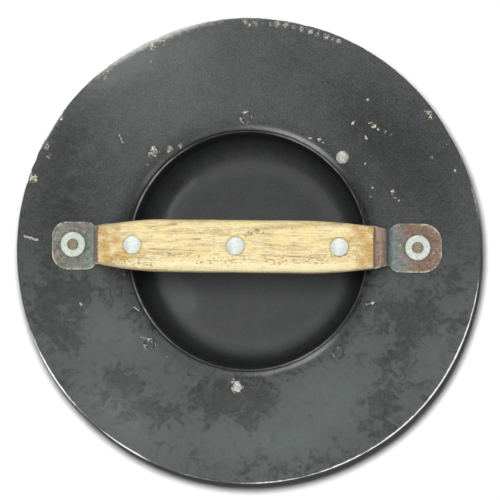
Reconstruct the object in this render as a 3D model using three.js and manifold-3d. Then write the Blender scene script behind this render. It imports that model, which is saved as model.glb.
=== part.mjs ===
// A round steel buckler, lying face down on its boss with the grip up.
// Millimetres, +Z up. The origin is on the ground, under the middle of the plate.
import * as THREE from "three";
import { mergeVertices } from "three/addons/utils/BufferGeometryUtils.js";
import Module from "manifold-3d";

const wasm = await Module();
wasm.setup();

// The plate is a flat disc of sheet steel. The edge of its round opening is bent down into the boss.
const PLATE_DIAMETER = 305;
const PLATE_THICKNESS = 1.6;
const RIM_BEVEL = 0.45;
const OPENING_DIAMETER = 158.8;
const LIP_BEND_RADIUS = 6.5;
const LIP_TURN = 38;

// The boss is a pressed bowl with a flange that lies against the front of the plate.
// The bend from its flange to its wall passes close under the edge of the opening.
const BOSS_DEPTH = 41;
const BOSS_THICKNESS = 1.6;
const BOSS_BEND_RADIUS = 6;
const BOSS_WALL_DRAFT = 8;
const BOSS_CORNER_RADIUS = 18;
const BOSS_CROWN_RADIUS = 320;
const BOSS_FLANGE_MARGIN = 3.8;
const FOOT_DIAMETER = 40;

// Rivets round the opening hold the boss. They were set by hand: each has its own angle, and some
// stand further out than the nearest place that the bend of the boss leaves for a head.
// None stands where the handle crosses.
const BOSS_RIVET_PLACES = [
  { angle: 44.4, further: 0 },
  { angle: 90.6, further: 0 },
  { angle: 133.5, further: 2.1 },
  { angle: 223.6, further: 1.6 },
  { angle: 265.8, further: 2.3 },
  { angle: 312, further: 2.3 },
];
const BOSS_RIVET = {
  shank: 4.6,
  backHead: 8.2,
  backHeight: 1.1,
  frontHead: 7,
  frontHeight: 2.2,
};

// The handle is one steel strap with two bends at each end and a broad tab beyond them.
// It sits a little off the middle of the plate and is turned slightly.
const HANDLE_OFFSET_X = -1.5;
const HANDLE_OFFSET_Y = 3.1;
const HANDLE_TURN = -0.58;
const STRAP_THICKNESS = 3;
const STRAP_RISE = 28;
const STRAP_FROM_OPENING = 15.5;
const STRAP_WIDTH = 27.6;
const STRAP_TOP_BEND = 2;
const STRAP_FOOT_BEND = 5;
const NECK_WIDTH = 23.4;
const TAB_LENGTH = 32.9;
const TAB_WIDTH = 32.8;
const TAB_OUTER_CORNER = 9.5;
const TAB_INNER_CORNER = 7;
const TAB_FLARE_ANGLE = 30;

// The strap's bends and ends aren't quite even about the two rivets of its tabs.
const STRAP_SHIFT = -1.4;
const TAB_END_SHIFT = 0.9;

// A rivet and a washer hold each tab. The rivet is peened flat inside the washer.
const TAB_RIVET_FROM_STRAP = 18.1;
const TAB_RIVET = {
  shank: 6.4,
  backHead: 7.2,
  backHeight: 0.4,
  frontHead: 14,
  frontHeight: 4.6,
};
const WASHER_DIAMETER = 16.4;
const WASHER_THICKNESS = 1.5;
const WASHER_BEVEL = 0.4;
const PEEN_BELOW_WASHER = 0.35;

// The grip is a wooden scale on top of the strap, with rounded long edges and tapered ends.
const GRIP_END_GAP = 6.5;
const GRIP_WIDTH = 33.4;
const GRIP_END_WIDTH = 26.2;
const GRIP_TAPER = 21;
const GRIP_THICKNESS = 13;
const GRIP_END_THICKNESS = 8.5;
const GRIP_END_SLOPE = 14;
const GRIP_EDGE_ROUND = 5;
const GRIP_SHIFT = -1.1;
const GRIP_RIVET_SPACING = 66.6;
const GRIP_RIVET_COUNT = 3;
const GRIP_RIVET = {
  shank: 5,
  backHead: 11.2,
  backHeight: 1.6,
  frontHead: 9,
  frontHeight: 2,
};

// Clearances between pieces that touch, and round a shank in its hole.
const SEAT_GAP = 0.05;
const SHANK_CLEARANCE = 0.1;

// How finely the round stretches are divided.
const RING_STEPS = 64;
const RIVET_STEPS = 12;
const BEND_STEPS = 4;
const CORNER_STEPS = 5;
const CROWN_STEPS = 2;
const DOME_STEPS = 3;

// Longer than anything that a cut passes through.
const CUT_THROUGH = 100;

const radians = THREE.MathUtils.degToRad;

// Heights above the ground, and radii from the middle, of the faces where the sheets meet.
const openingRadius = OPENING_DIAMETER / 2;
const lipCentreRadius = openingRadius + LIP_BEND_RADIUS * Math.sin(radians(LIP_TURN));
const footRadius = FOOT_DIAMETER / 2;
const crownCentreZ = Math.sqrt((BOSS_CROWN_RADIUS + BOSS_THICKNESS) ** 2 - footRadius ** 2);
const bowlFloorZ = crownCentreZ - Math.sqrt(BOSS_CROWN_RADIUS ** 2 - footRadius ** 2);
const plateBackZ = bowlFloorZ + BOSS_DEPTH;
const plateFrontZ = plateBackZ - PLATE_THICKNESS;
const lipCentreZ = plateBackZ - LIP_BEND_RADIUS;
const flangeBackZ = plateFrontZ - SEAT_GAP;
const flangeFrontZ = flangeBackZ - BOSS_THICKNESS;

// The bend of the boss clears the lower corner of the plate's cut edge by the seat gap.
const lipFrontRadius = LIP_BEND_RADIUS - PLATE_THICKNESS;
const lipCorner = new THREE.Vector2(
  lipCentreRadius - lipFrontRadius * Math.sin(radians(LIP_TURN)),
  lipCentreZ + lipFrontRadius * Math.cos(radians(LIP_TURN)),
);
const bossBendCentreZ = flangeBackZ - BOSS_BEND_RADIUS;
const bossBendReach = BOSS_BEND_RADIUS + SEAT_GAP;
const bossBendCentreRadius =
  lipCorner.x + Math.sqrt(bossBendReach ** 2 - (lipCorner.y - bossBendCentreZ) ** 2);

const bossRivetRadii = BOSS_RIVET_PLACES.map(
  ({ further }) => bossBendCentreRadius + BOSS_RIVET.frontHead / 2 + further,
);
const flangeRadius = Math.max(...bossRivetRadii) + BOSS_RIVET.frontHead / 2 + BOSS_FLANGE_MARGIN;

// Distances along the handle from its middle, at its end towards negative x and at the other.
const strapHalf = openingRadius + STRAP_FROM_OPENING;
const wallX = [-strapHalf + STRAP_SHIFT, strapHalf + STRAP_SHIFT];
const tabEndX = [-strapHalf - TAB_LENGTH + TAB_END_SHIFT, strapHalf + TAB_LENGTH + TAB_END_SHIFT];
const tabRivetX = [-strapHalf - TAB_RIVET_FROM_STRAP, strapHalf + TAB_RIVET_FROM_STRAP];
const gripHalf = strapHalf - GRIP_END_GAP;
const gripX = STRAP_SHIFT + GRIP_SHIFT;

function arc(centreX, centreY, radius, from, to, steps) {
  return Array.from({ length: steps + 1 }, (_, i) => {
    const angle = from + ((to - from) * i) / steps;
    return new THREE.Vector2(
      centreX + radius * Math.cos(angle),
      centreY + radius * Math.sin(angle),
    );
  });
}

// A closed profile of (radius, height) points, turned about the Z axis.
function turned(profile, steps) {
  const closed = profile[0].x > 0 ? [...profile, profile[0].clone()] : profile;
  const geometry = new THREE.LatheGeometry(closed, steps);
  geometry.rotateX(Math.PI / 2);
  return geometry;
}

function solidOf(geometry) {
  const bare = new THREE.BufferGeometry().setAttribute("position", geometry.getAttribute("position"));
  bare.setIndex(geometry.index);
  const merged = mergeVertices(bare, 1e-4);
  const mesh = new wasm.Mesh({
    numProp: 3,
    vertProperties: new Float32Array(merged.attributes.position.array),
    triVerts: new Uint32Array(merged.index.array),
  });
  return new wasm.Manifold(mesh);
}

function geometryOf(solid) {
  const mesh = solid.getMesh();
  const geometry = new THREE.BufferGeometry();
  geometry.setAttribute("position", new THREE.BufferAttribute(mesh.vertProperties, 3));
  geometry.setIndex(new THREE.BufferAttribute(mesh.triVerts, 1));
  const flat = geometry.toNonIndexed();
  flat.computeVertexNormals();
  return flat;
}

// Cuts round holes of one diameter through a geometry, along Z, at the given points.
function drilled(geometry, points, diameter) {
  const drill = new THREE.CylinderGeometry(diameter / 2, diameter / 2, 2 * CUT_THROUGH, RIVET_STEPS);
  drill.rotateX(Math.PI / 2);
  const cut = points.reduce((solid, point) => {
    const here = drill.clone().translate(point.x, point.y, 0);
    return solid.subtract(solidOf(here));
  }, solidOf(geometry));
  return geometryOf(cut);
}

// An extrusion that both outlines bound: one seen from the side (X, Z), one seen from above (X, Y).
function boundedBy(sideShape, planGeometry) {
  const side = new THREE.ExtrudeGeometry(sideShape, {
    depth: 2 * CUT_THROUGH,
    bevelEnabled: false,
    curveSegments: BEND_STEPS,
  });
  side.translate(0, 0, -CUT_THROUGH);
  side.rotateX(Math.PI / 2);
  return geometryOf(solidOf(side).intersect(solidOf(planGeometry)));
}

function finished(geometry, name, material) {
  const mesh = new THREE.Mesh(geometry, material);
  mesh.name = name;
  return mesh;
}

// Materials
const blackenedSteel = new THREE.MeshStandardMaterial({ color: 0x4c4e4d, roughness: 0.55, metalness: 0.5 });
const forgedSteel = new THREE.MeshStandardMaterial({ color: 0x6b6664, roughness: 0.6, metalness: 0.7 });
const zincSteel = new THREE.MeshStandardMaterial({ color: 0xc9d0cb, roughness: 0.45, metalness: 0.6 });
const rustySteel = new THREE.MeshStandardMaterial({ color: 0x8a7660, roughness: 0.7, metalness: 0.5 });
const oiledWood = new THREE.MeshStandardMaterial({ color: 0xd2ad6b, roughness: 0.65, metalness: 0 });

// A rivet along Z through a stack of sheets from z = 0 down to -stack, with a low dome at each end.
function rivetGeometry({ shank, backHead, backHeight, frontHead, frontHeight }, stack) {
  const domed = (diameter, height, seat, direction) => {
    const sphere = ((diameter / 2) ** 2 + height ** 2) / (2 * height);
    const spread = Math.asin(Math.min(1, diameter / 2 / sphere));
    const centre = seat + direction * (height - sphere);
    const from = direction * (Math.PI / 2 - spread);
    return arc(0, centre, sphere, from, (direction * Math.PI) / 2, DOME_STEPS);
  };
  const front = domed(frontHead, frontHeight, -stack, -1).reverse();
  const back = domed(backHead, backHeight, 0, 1);
  front[0].x = 0;
  back[back.length - 1].x = 0;
  return turned(
    [...front, new THREE.Vector2(shank / 2, -stack), new THREE.Vector2(shank / 2, 0), ...back],
    RIVET_STEPS,
  );
}

// Where the rivets stand on the plate.
const bossRivetPoints = BOSS_RIVET_PLACES.map(({ angle }, i) =>
  new THREE.Vector2(bossRivetRadii[i], 0).rotateAround(new THREE.Vector2(), radians(angle)),
);
const handleOffset = new THREE.Vector2(HANDLE_OFFSET_X, HANDLE_OFFSET_Y);
const tabRivetPoints = tabRivetX.map((x) =>
  new THREE.Vector2(x, 0).rotateAround(new THREE.Vector2(), radians(HANDLE_TURN)).add(handleOffset),
);

// Plate
function plate() {
  const rim = PLATE_DIAMETER / 2;
  const cutEnd = Math.PI / 2 + radians(LIP_TURN);
  const profile = [
    new THREE.Vector2(rim - RIM_BEVEL, plateFrontZ),
    new THREE.Vector2(rim, plateFrontZ + RIM_BEVEL),
    new THREE.Vector2(rim, plateBackZ - RIM_BEVEL),
    new THREE.Vector2(rim - RIM_BEVEL, plateBackZ),
    ...arc(lipCentreRadius, lipCentreZ, LIP_BEND_RADIUS, Math.PI / 2, cutEnd, BEND_STEPS),
    ...arc(
      lipCentreRadius,
      lipCentreZ,
      LIP_BEND_RADIUS - PLATE_THICKNESS,
      cutEnd,
      Math.PI / 2,
      BEND_STEPS,
    ),
  ];
  const disc = turned(profile, RING_STEPS);
  const forBoss = drilled(disc, bossRivetPoints, BOSS_RIVET.shank + 2 * SHANK_CLEARANCE);
  const forHandle = drilled(forBoss, tabRivetPoints, TAB_RIVET.shank + 2 * SHANK_CLEARANCE);
  return finished(forHandle, "plate", blackenedSteel);
}

// Boss. One face of its sheet runs along the flange, round the bend, down the wall, round the
// corner and over the crown to the flat foot. offset is 0 for the back face, or the thickness
// for the front face.
function bossFace(offset) {
  const draft = radians(BOSS_WALL_DRAFT);
  const outward = new THREE.Vector2(Math.cos(draft), -Math.sin(draft));
  const upward = new THREE.Vector2(Math.sin(draft), Math.cos(draft));
  const bendCentre = new THREE.Vector2(bossBendCentreRadius, bossBendCentreZ);
  // The corner's centre lies one corner radius inside the wall, and where the corner meets the crown.
  const wallDistance = bendCentre.dot(outward) - BOSS_BEND_RADIUS - BOSS_CORNER_RADIUS;
  const reach = BOSS_CROWN_RADIUS - BOSS_CORNER_RADIUS;
  const half = crownCentreZ * Math.cos(draft);
  const rest = wallDistance ** 2 + 2 * wallDistance * crownCentreZ * Math.sin(draft);
  const along = half - Math.sqrt(half ** 2 - rest - crownCentreZ ** 2 + reach ** 2);
  const cornerCentre = outward.clone().multiplyScalar(wallDistance);
  cornerCentre.addScaledVector(upward, along);
  const crownSlope = Math.atan2(cornerCentre.x, crownCentreZ - cornerCentre.y);
  const crown = BOSS_CROWN_RADIUS + offset;
  const footSlope = Math.asin(footRadius / crown);
  const quarter = Math.PI / 2;
  return [
    new THREE.Vector2(flangeRadius, flangeBackZ - offset),
    ...arc(bendCentre.x, bendCentre.y, BOSS_BEND_RADIUS - offset, quarter, Math.PI - draft, BEND_STEPS),
    ...arc(
      cornerCentre.x,
      cornerCentre.y,
      BOSS_CORNER_RADIUS + offset,
      -draft,
      crownSlope - quarter,
      CORNER_STEPS,
    ),
    ...arc(0, crownCentreZ, crown, crownSlope - quarter, footSlope - quarter, CROWN_STEPS).slice(1),
    new THREE.Vector2(0, crownCentreZ - Math.sqrt(crown ** 2 - footRadius ** 2)),
  ];
}

function boss() {
  const profile = [...bossFace(BOSS_THICKNESS).reverse(), ...bossFace(0)];
  const bowl = turned(profile, RING_STEPS);
  const hole = BOSS_RIVET.shank + 2 * SHANK_CLEARANCE;
  return finished(drilled(bowl, bossRivetPoints, hole), "boss", blackenedSteel);
}

function bossRivets() {
  const stack = plateBackZ - flangeFrontZ + 2 * SEAT_GAP;
  return bossRivetPoints.map((point, i) => {
    const rivet = finished(rivetGeometry(BOSS_RIVET, stack), `boss_rivet_${i + 1}`, zincSteel);
    rivet.position.set(point.x, point.y, plateBackZ + SEAT_GAP);
    return rivet;
  });
}

// Handle strap. Heights are measured from the underside of the tabs.
// The bends of one end, seen from the side, along the upper face and along the lower face.
function strapBends(side) {
  const sign = Math.sign(wallX[side]);
  const wall = Math.abs(wallX[side]);
  const inner = STRAP_TOP_BEND;
  const outer = STRAP_TOP_BEND + STRAP_THICKNESS;
  const footX = wall + STRAP_FOOT_BEND;
  const footZ = STRAP_THICKNESS + STRAP_FOOT_BEND;
  const topX = wall - outer;
  const topZ = STRAP_RISE - outer;
  const quarter = Math.PI / 2;
  const under = STRAP_FOOT_BEND + STRAP_THICKNESS;
  const place = (points) => points.map((p) => new THREE.Vector2(sign * p.x, p.y));
  return {
    upper: place([
      ...arc(footX, footZ, STRAP_FOOT_BEND, 3 * quarter, 2 * quarter, BEND_STEPS),
      ...arc(topX, topZ, outer, 0, quarter, BEND_STEPS),
    ]),
    lower: place([
      ...arc(footX, footZ, under, 3 * quarter, 2 * quarter, BEND_STEPS),
      ...arc(topX, topZ, inner, 0, quarter, BEND_STEPS),
    ]),
  };
}

function strapSide() {
  const left = strapBends(0);
  const right = strapBends(1);
  return new THREE.Shape([
    new THREE.Vector2(tabEndX[1], 0),
    new THREE.Vector2(tabEndX[1], STRAP_THICKNESS),
    ...right.upper,
    ...left.upper.reverse(),
    new THREE.Vector2(tabEndX[0], STRAP_THICKNESS),
    new THREE.Vector2(tabEndX[0], 0),
    ...left.lower,
    ...right.lower.reverse(),
  ]);
}

function strapPlan() {
  const half = TAB_WIDTH / 2;
  const quarter = Math.PI / 2;
  const flare = radians(TAB_FLARE_ANGLE);
  const corner = (side) => {
    const sign = Math.sign(wallX[side]);
    const wall = Math.abs(wallX[side]);
    const end = Math.abs(tabEndX[side]);
    const points = [
      new THREE.Vector2(wall - STRAP_FOOT_BEND - STRAP_THICKNESS, STRAP_WIDTH / 2),
      new THREE.Vector2(wall, NECK_WIDTH / 2),
      ...arc(
        wall + TAB_INNER_CORNER,
        half - TAB_INNER_CORNER,
        TAB_INNER_CORNER,
        2 * quarter - flare,
        quarter,
        BEND_STEPS,
      ),
      ...arc(end - TAB_OUTER_CORNER, half - TAB_OUTER_CORNER, TAB_OUTER_CORNER, quarter, 0, BEND_STEPS),
    ];
    return points.map((p) => new THREE.Vector2(sign * p.x, p.y));
  };
  const below = (points) => points.map((p) => new THREE.Vector2(p.x, -p.y));
  return new THREE.Shape([
    ...corner(1).reverse(),
    ...corner(0),
    ...below(corner(0)).reverse(),
    ...below(corner(1)),
  ]);
}

const gripRivetPoints = Array.from(
  { length: GRIP_RIVET_COUNT },
  (_, i) => new THREE.Vector2(gripX + (i - (GRIP_RIVET_COUNT - 1) / 2) * GRIP_RIVET_SPACING, 0),
);

function handleStrap() {
  const plan = new THREE.ExtrudeGeometry(strapPlan(), { depth: CUT_THROUGH, bevelEnabled: false });
  plan.translate(0, 0, -STRAP_THICKNESS);
  const bent = boundedBy(strapSide(), plan);
  const tabHoles = tabRivetX.map((x) => new THREE.Vector2(x, 0));
  const forTabs = drilled(bent, tabHoles, TAB_RIVET.shank + 2 * SHANK_CLEARANCE);
  const forGrip = drilled(forTabs, gripRivetPoints, GRIP_RIVET.shank + 2 * SHANK_CLEARANCE);
  return finished(forGrip, "handle_strap", forgedSteel);
}

// Washer and rivet of one tab. Both stand on the tab's top face, at z = 0 here.
function washer(name) {
  const hole = TAB_RIVET.backHead / 2 + SHANK_CLEARANCE;
  const ring = [
    new THREE.Vector2(hole, 0),
    new THREE.Vector2(WASHER_DIAMETER / 2, 0),
    new THREE.Vector2(WASHER_DIAMETER / 2, WASHER_THICKNESS - WASHER_BEVEL),
    new THREE.Vector2(WASHER_DIAMETER / 2 - WASHER_BEVEL, WASHER_THICKNESS),
    new THREE.Vector2(hole, WASHER_THICKNESS),
  ];
  return finished(turned(ring, RIVET_STEPS), name, zincSteel);
}

function tabRivet(name) {
  const insideWasher = WASHER_THICKNESS - PEEN_BELOW_WASHER - TAB_RIVET.backHeight;
  const stack = STRAP_THICKNESS + PLATE_THICKNESS + 3 * SEAT_GAP;
  const geometry = rivetGeometry(TAB_RIVET, insideWasher + stack);
  geometry.translate(0, 0, insideWasher);
  return finished(geometry, name, rustySteel);
}

function tabFastenings(side, x) {
  const top = STRAP_THICKNESS + SEAT_GAP;
  const pieces = [washer(`washer_${side}`), tabRivet(`tab_rivet_${side}`)];
  pieces.forEach((piece) => piece.position.set(x, 0, top));
  return pieces;
}

// Grip. Its flat underside is at z = 0 here. From above, its outline runs on past its ends, and
// its outline from the side cuts them square.
function gripPlan() {
  const taperX = gripHalf - GRIP_TAPER;
  const fullX = taperX - GRIP_TAPER;
  const beyond = gripHalf + 2 * GRIP_EDGE_ROUND;
  const side = GRIP_WIDTH / 2;
  const endSide = GRIP_END_WIDTH / 2;
  const shape = new THREE.Shape();
  shape.moveTo(-beyond, -endSide);
  shape.lineTo(-gripHalf, -endSide);
  shape.quadraticCurveTo(-taperX, -side, -fullX, -side);
  shape.lineTo(fullX, -side);
  shape.quadraticCurveTo(taperX, -side, gripHalf, -endSide);
  shape.lineTo(beyond, -endSide);
  shape.lineTo(beyond, endSide);
  shape.lineTo(gripHalf, endSide);
  shape.quadraticCurveTo(taperX, side, fullX, side);
  shape.lineTo(-fullX, side);
  shape.quadraticCurveTo(-taperX, side, -gripHalf, endSide);
  shape.lineTo(-beyond, endSide);
  return shape;
}

function gripSide() {
  return new THREE.Shape([
    new THREE.Vector2(-gripHalf, 0),
    new THREE.Vector2(gripHalf, 0),
    new THREE.Vector2(gripHalf, GRIP_END_THICKNESS),
    new THREE.Vector2(gripHalf - GRIP_END_SLOPE, GRIP_THICKNESS),
    new THREE.Vector2(GRIP_END_SLOPE - gripHalf, GRIP_THICKNESS),
    new THREE.Vector2(-gripHalf, GRIP_END_THICKNESS),
  ]);
}

function grip() {
  const rounded = new THREE.ExtrudeGeometry(gripPlan(), {
    depth: GRIP_THICKNESS,
    bevelSize: GRIP_EDGE_ROUND,
    bevelThickness: GRIP_EDGE_ROUND,
    bevelOffset: -GRIP_EDGE_ROUND,
    bevelSegments: BEND_STEPS,
    curveSegments: CORNER_STEPS,
  });
  rounded.translate(0, 0, -GRIP_EDGE_ROUND);
  const scale = boundedBy(gripSide(), rounded);
  scale.translate(gripX, 0, 0);
  const hole = GRIP_RIVET.shank + 2 * SHANK_CLEARANCE;
  const piece = finished(drilled(scale, gripRivetPoints, hole), "grip", oiledWood);
  piece.position.z = STRAP_RISE + SEAT_GAP;
  return piece;
}

function gripRivets() {
  const stack = STRAP_THICKNESS + GRIP_THICKNESS + 3 * SEAT_GAP;
  return gripRivetPoints.map((point, i) => {
    const rivet = finished(rivetGeometry(GRIP_RIVET, stack), `grip_rivet_${i + 1}`, zincSteel);
    rivet.position.set(point.x, point.y, STRAP_RISE + GRIP_THICKNESS + 2 * SEAT_GAP);
    return rivet;
  });
}

// The handle with all that is fixed to it stands on the back of the plate.
const handle = new THREE.Group();
handle.position.set(HANDLE_OFFSET_X, HANDLE_OFFSET_Y, plateBackZ + SEAT_GAP);
handle.rotation.z = radians(HANDLE_TURN);
handle.add(handleStrap(), grip(), ...gripRivets());
handle.add(...tabFastenings("left", tabRivetX[0]), ...tabFastenings("right", tabRivetX[1]));

const buckler = new THREE.Group();
buckler.add(plate(), boss(), ...bossRivets(), handle);

export default buckler;
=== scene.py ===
import math

import bmesh
import bpy
import numpy
from mathutils import Matrix, Vector, noise


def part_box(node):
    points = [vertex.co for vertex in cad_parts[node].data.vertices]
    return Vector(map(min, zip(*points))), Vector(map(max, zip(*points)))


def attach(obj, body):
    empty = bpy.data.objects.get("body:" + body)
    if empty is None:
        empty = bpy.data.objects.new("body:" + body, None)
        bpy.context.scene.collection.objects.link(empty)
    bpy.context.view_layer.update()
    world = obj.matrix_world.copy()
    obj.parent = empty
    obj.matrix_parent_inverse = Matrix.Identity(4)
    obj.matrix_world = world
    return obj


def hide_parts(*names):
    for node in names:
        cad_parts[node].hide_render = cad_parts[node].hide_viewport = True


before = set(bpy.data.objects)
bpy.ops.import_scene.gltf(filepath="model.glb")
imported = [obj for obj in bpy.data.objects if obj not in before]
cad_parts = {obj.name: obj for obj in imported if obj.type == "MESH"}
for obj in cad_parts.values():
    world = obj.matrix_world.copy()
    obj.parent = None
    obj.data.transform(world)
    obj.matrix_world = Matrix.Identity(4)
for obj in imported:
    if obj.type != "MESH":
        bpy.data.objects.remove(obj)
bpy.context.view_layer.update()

# Camera. The photograph looks down on the back of the buckler, five degrees off square towards
# its right-hand end. The top of the picture is towards +Y, and the picture is 500 pixels wide.
MM = 0.001
SLANT = math.radians(5)
CAMERA_DISTANCE = 1.8
PICTURE_PIXELS = 500
MM_PER_PIXEL = 0.6541
PLATE_MIDDLE_PIXEL = (247.2, 250.85)
SENSOR = 36

plate_low, plate_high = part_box("plate")
half_picture = PICTURE_PIXELS / 2
pixel_size = MM_PER_PIXEL * MM
looks_along = Vector((-math.sin(SLANT), 0, -math.cos(SLANT)))
picture_right = looks_along.cross(Vector((0, 1, 0)))
picture_up = picture_right.cross(looks_along)
aimed_at = Vector((
    (half_picture - PLATE_MIDDLE_PIXEL[0]) * pixel_size,
    (PLATE_MIDDLE_PIXEL[1] - half_picture) * pixel_size,
    plate_high.z,
))
camera_place = aimed_at - looks_along * CAMERA_DISTANCE
camera = bpy.data.objects.new("camera", bpy.data.cameras.new("camera"))
camera.data.sensor_width = SENSOR
camera.data.lens = SENSOR * CAMERA_DISTANCE / (PICTURE_PIXELS * pixel_size)
camera.data.clip_start = 0.05
camera_turn = Matrix((picture_right, picture_up, -looks_along)).transposed().to_4x4()
camera.matrix_world = Matrix.Translation(camera_place) @ camera_turn
bpy.context.collection.objects.link(camera)
bpy.context.scene.camera = camera


def seen_at(pixel_x, pixel_y, height=plate_high.z):
    """The place, at a height in metres, that a pixel of the photograph shows."""
    sight = looks_along * CAMERA_DISTANCE
    sight = sight + picture_right * (pixel_x - half_picture) * pixel_size
    sight = sight + picture_up * (half_picture - pixel_y) * pixel_size
    return camera_place + sight * ((height - camera_place.z) / sight.z)


# Studio. A plain pale floor in a dim room with a bright skyline. The key lamp lights the buckler
# alone, and the floor's own lamp, nearer and smaller, casts its short shadow. A panel overhead and
# softboxes at its upper and lower sides show only as sheen on the bent edge and in the bowl.
ROOM_LIGHT = 0.07
SKYLINE_LIGHT = 0.5
SKYLINE_FADE = (0.08, 0.4)
FLOOR_PALE = 0.55
FLOOR_PALE_FAR = 0.9
FLOOR_FADE = (0.4, 1.2)
FLOOR_SIZE = 2.6
LAMPS = [
    # name, azimuth and angle off vertical in degrees, distance, width and height in metres,
    # watts, what it does
    ("key_lamp", 80, 7.4, 3.0, 0.8, 0.8, 104, "lights buckler"),
    ("floor_lamp", 63, 5.8, 1.27, 0.18, 0.18, 32, "lights floor"),
    ("overhead_panel", 0, 0, 2.6, 2.4, 2.4, 17, "sheen"),
    ("upper_softbox", 108, 42, 2.0, 1.2, 0.9, 13, "sheen"),
    ("lower_softbox", 250, 42, 2.0, 1.2, 0.9, 13, "sheen"),
    ("upper_right_softbox", 35, 34, 2.0, 0.5, 0.4, 2.6, "sheen"),
    ("lower_right_softbox", 322, 34, 2.0, 0.5, 0.4, 2.6, "sheen"),
]


def put(tree, kind, sockets=(), **settings):
    """Adds a shader node. sockets gives values, or other nodes' outputs, by name or number."""
    made = tree.nodes.new("ShaderNode" + kind)
    for setting, value in settings.items():
        setattr(made, setting, value)
    for socket, value in dict(sockets).items():
        if isinstance(value, bpy.types.NodeSocket):
            tree.links.new(value, made.inputs[socket])
        else:
            made.inputs[socket].default_value = value
    return made


def faded(tree, value, low, high, to_low=0.0, to_high=1.0, easing="SMOOTHSTEP"):
    """A value eased from one range to another and held at its ends."""
    sockets = {
        "Value": value, "From Min": low, "From Max": high, "To Min": to_low, "To Max": to_high,
    }
    return put(tree, "MapRange", sockets, interpolation_type=easing).outputs[0]


scene = bpy.context.scene
scene.view_settings.view_transform = "Standard"
scene.view_settings.look = "None"
scene.world = bpy.data.worlds.new("room")
scene.world.use_nodes = True
room = scene.world.node_tree
room_light = room.nodes["Background"].inputs
room_height = put(room, "SeparateXYZ", {0: put(room, "TexCoord").outputs["Generated"]})
room_height = room_height.outputs["Z"]
room_light["Color"].default_value = (1, 1, 1, 1)
room.links.new(
    faded(room, room_height, *SKYLINE_FADE, SKYLINE_LIGHT, ROOM_LIGHT, "LINEAR"),
    room_light["Strength"],
)

half_floor = FLOOR_SIZE / 2
floor_corners = [(-1, -1), (1, -1), (1, 1), (-1, 1)]
floor_corners = [(x * half_floor, y * half_floor, 0) for x, y in floor_corners]
floor_mesh = bpy.data.meshes.new("floor")
floor_mesh.from_pydata(floor_corners, [], [(0, 1, 2, 3)])
floor = bpy.data.objects.new("floor", floor_mesh)
bpy.context.collection.objects.link(floor)
floor_paint = bpy.data.materials.new("floor paint")
floor_paint.use_nodes = True
paint = floor_paint.node_tree
paint_shader = paint.nodes["Principled BSDF"]
from_middle = put(paint, "TexCoord").outputs["Object"]
from_middle = put(paint, "VectorMath", {0: from_middle}, operation="LENGTH").outputs["Value"]
paint.links.new(
    faded(paint, from_middle, *FLOOR_FADE, FLOOR_PALE, FLOOR_PALE_FAR, "LINEAR"),
    paint_shader.inputs["Base Color"],
)
paint_shader.inputs["Roughness"].default_value = 0.9
floor_mesh.materials.append(floor_paint)

for lamp_name, azimuth, off_vertical, distance, width, height, watts, does in LAMPS:
    lamp = bpy.data.objects.new(lamp_name, bpy.data.lights.new(lamp_name, "AREA"))
    lamp.data.shape = "RECTANGLE" if does == "sheen" else "ELLIPSE"
    lamp.data.size, lamp.data.size_y = width, height
    lamp.data.energy = watts
    out = distance * math.sin(math.radians(off_vertical))
    lamp.location = (
        out * math.cos(math.radians(azimuth)), out * math.sin(math.radians(azimuth)),
        distance * math.cos(math.radians(off_vertical)),
    )
    lamp.rotation_euler = (-lamp.location).to_track_quat("-Z", "Y").to_euler()
    lamp.visible_diffuse = does != "sheen"
    lamp.visible_glossy = does == "sheen"
    bpy.context.collection.objects.link(lamp)
    if does != "sheen":
        linked = bpy.data.collections.new(lamp_name + " on floor")
        linked.objects.link(floor)
        lamp.light_linking.receiver_collection = linked
        on_floor = "INCLUDE" if does == "lights floor" else "EXCLUDE"
        linked.collection_objects[0].light_linking.link_state = on_floor

# Plate. A flat disc of sheet steel, blackened by heat and oil, with a round opening whose edge is
# bent down into the boss. The black has chipped along the rim and beside the rivets, and the rim is
# worn bare, with a painted highlight where it is brightest along its lower half.
PLATE_RADIUS = (plate_high.x - plate_low.x) / 2 / MM
PLATE_THICKNESS = 1.6
RIM_ROUND = 0.55
OPENING_RADIUS = 79.4
LIP_BEND = 6.5
LIP_TURN = math.radians(38)
PLATE_AROUND = 720
PLATE_UNEVEN = 0.12
RIM_UNEVEN = 0.22
RIM_NICK_REACH = 3
RIM_SHAPE_REACH = 12
RIM_GLINT_REACH = 0.95
FROST_REACH = 7
SHADE_RING_RADIUS = 83
SHADE_RING_WIDTH = 5
UPPER_LEFT_BLOTCHES = (62, 165, 34, 0.35)
plate_back = plate_high.z / MM
plate_front = plate_back - PLATE_THICKNESS

# Nicks in the rim: angle in degrees, half width in degrees, depth in millimetres.
RIM_NICKS = [
    (157, 1.1, 0.5), (162.5, 0.8, 0.4), (146, 1.4, 0.35), (128, 1.2, 0.3), (113, 1.5, 0.35),
    (98, 1.0, 0.25), (84, 1.6, 0.3), (76, 1.2, 0.3), (30, 1.2, 0.35), (16, 0.8, 0.25),
    (205, 1.0, 0.2), (300, 1.2, 0.15),
]

# Where the rim was cut outside a true circle, or inside it (negative), given in the same way.
RIM_SHAPE = [(-42, 17, 1.0), (-150, 12, 0.5), (118, 12, -0.45), (88, 8, 0.35), (30, 12, -0.35)]

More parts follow.
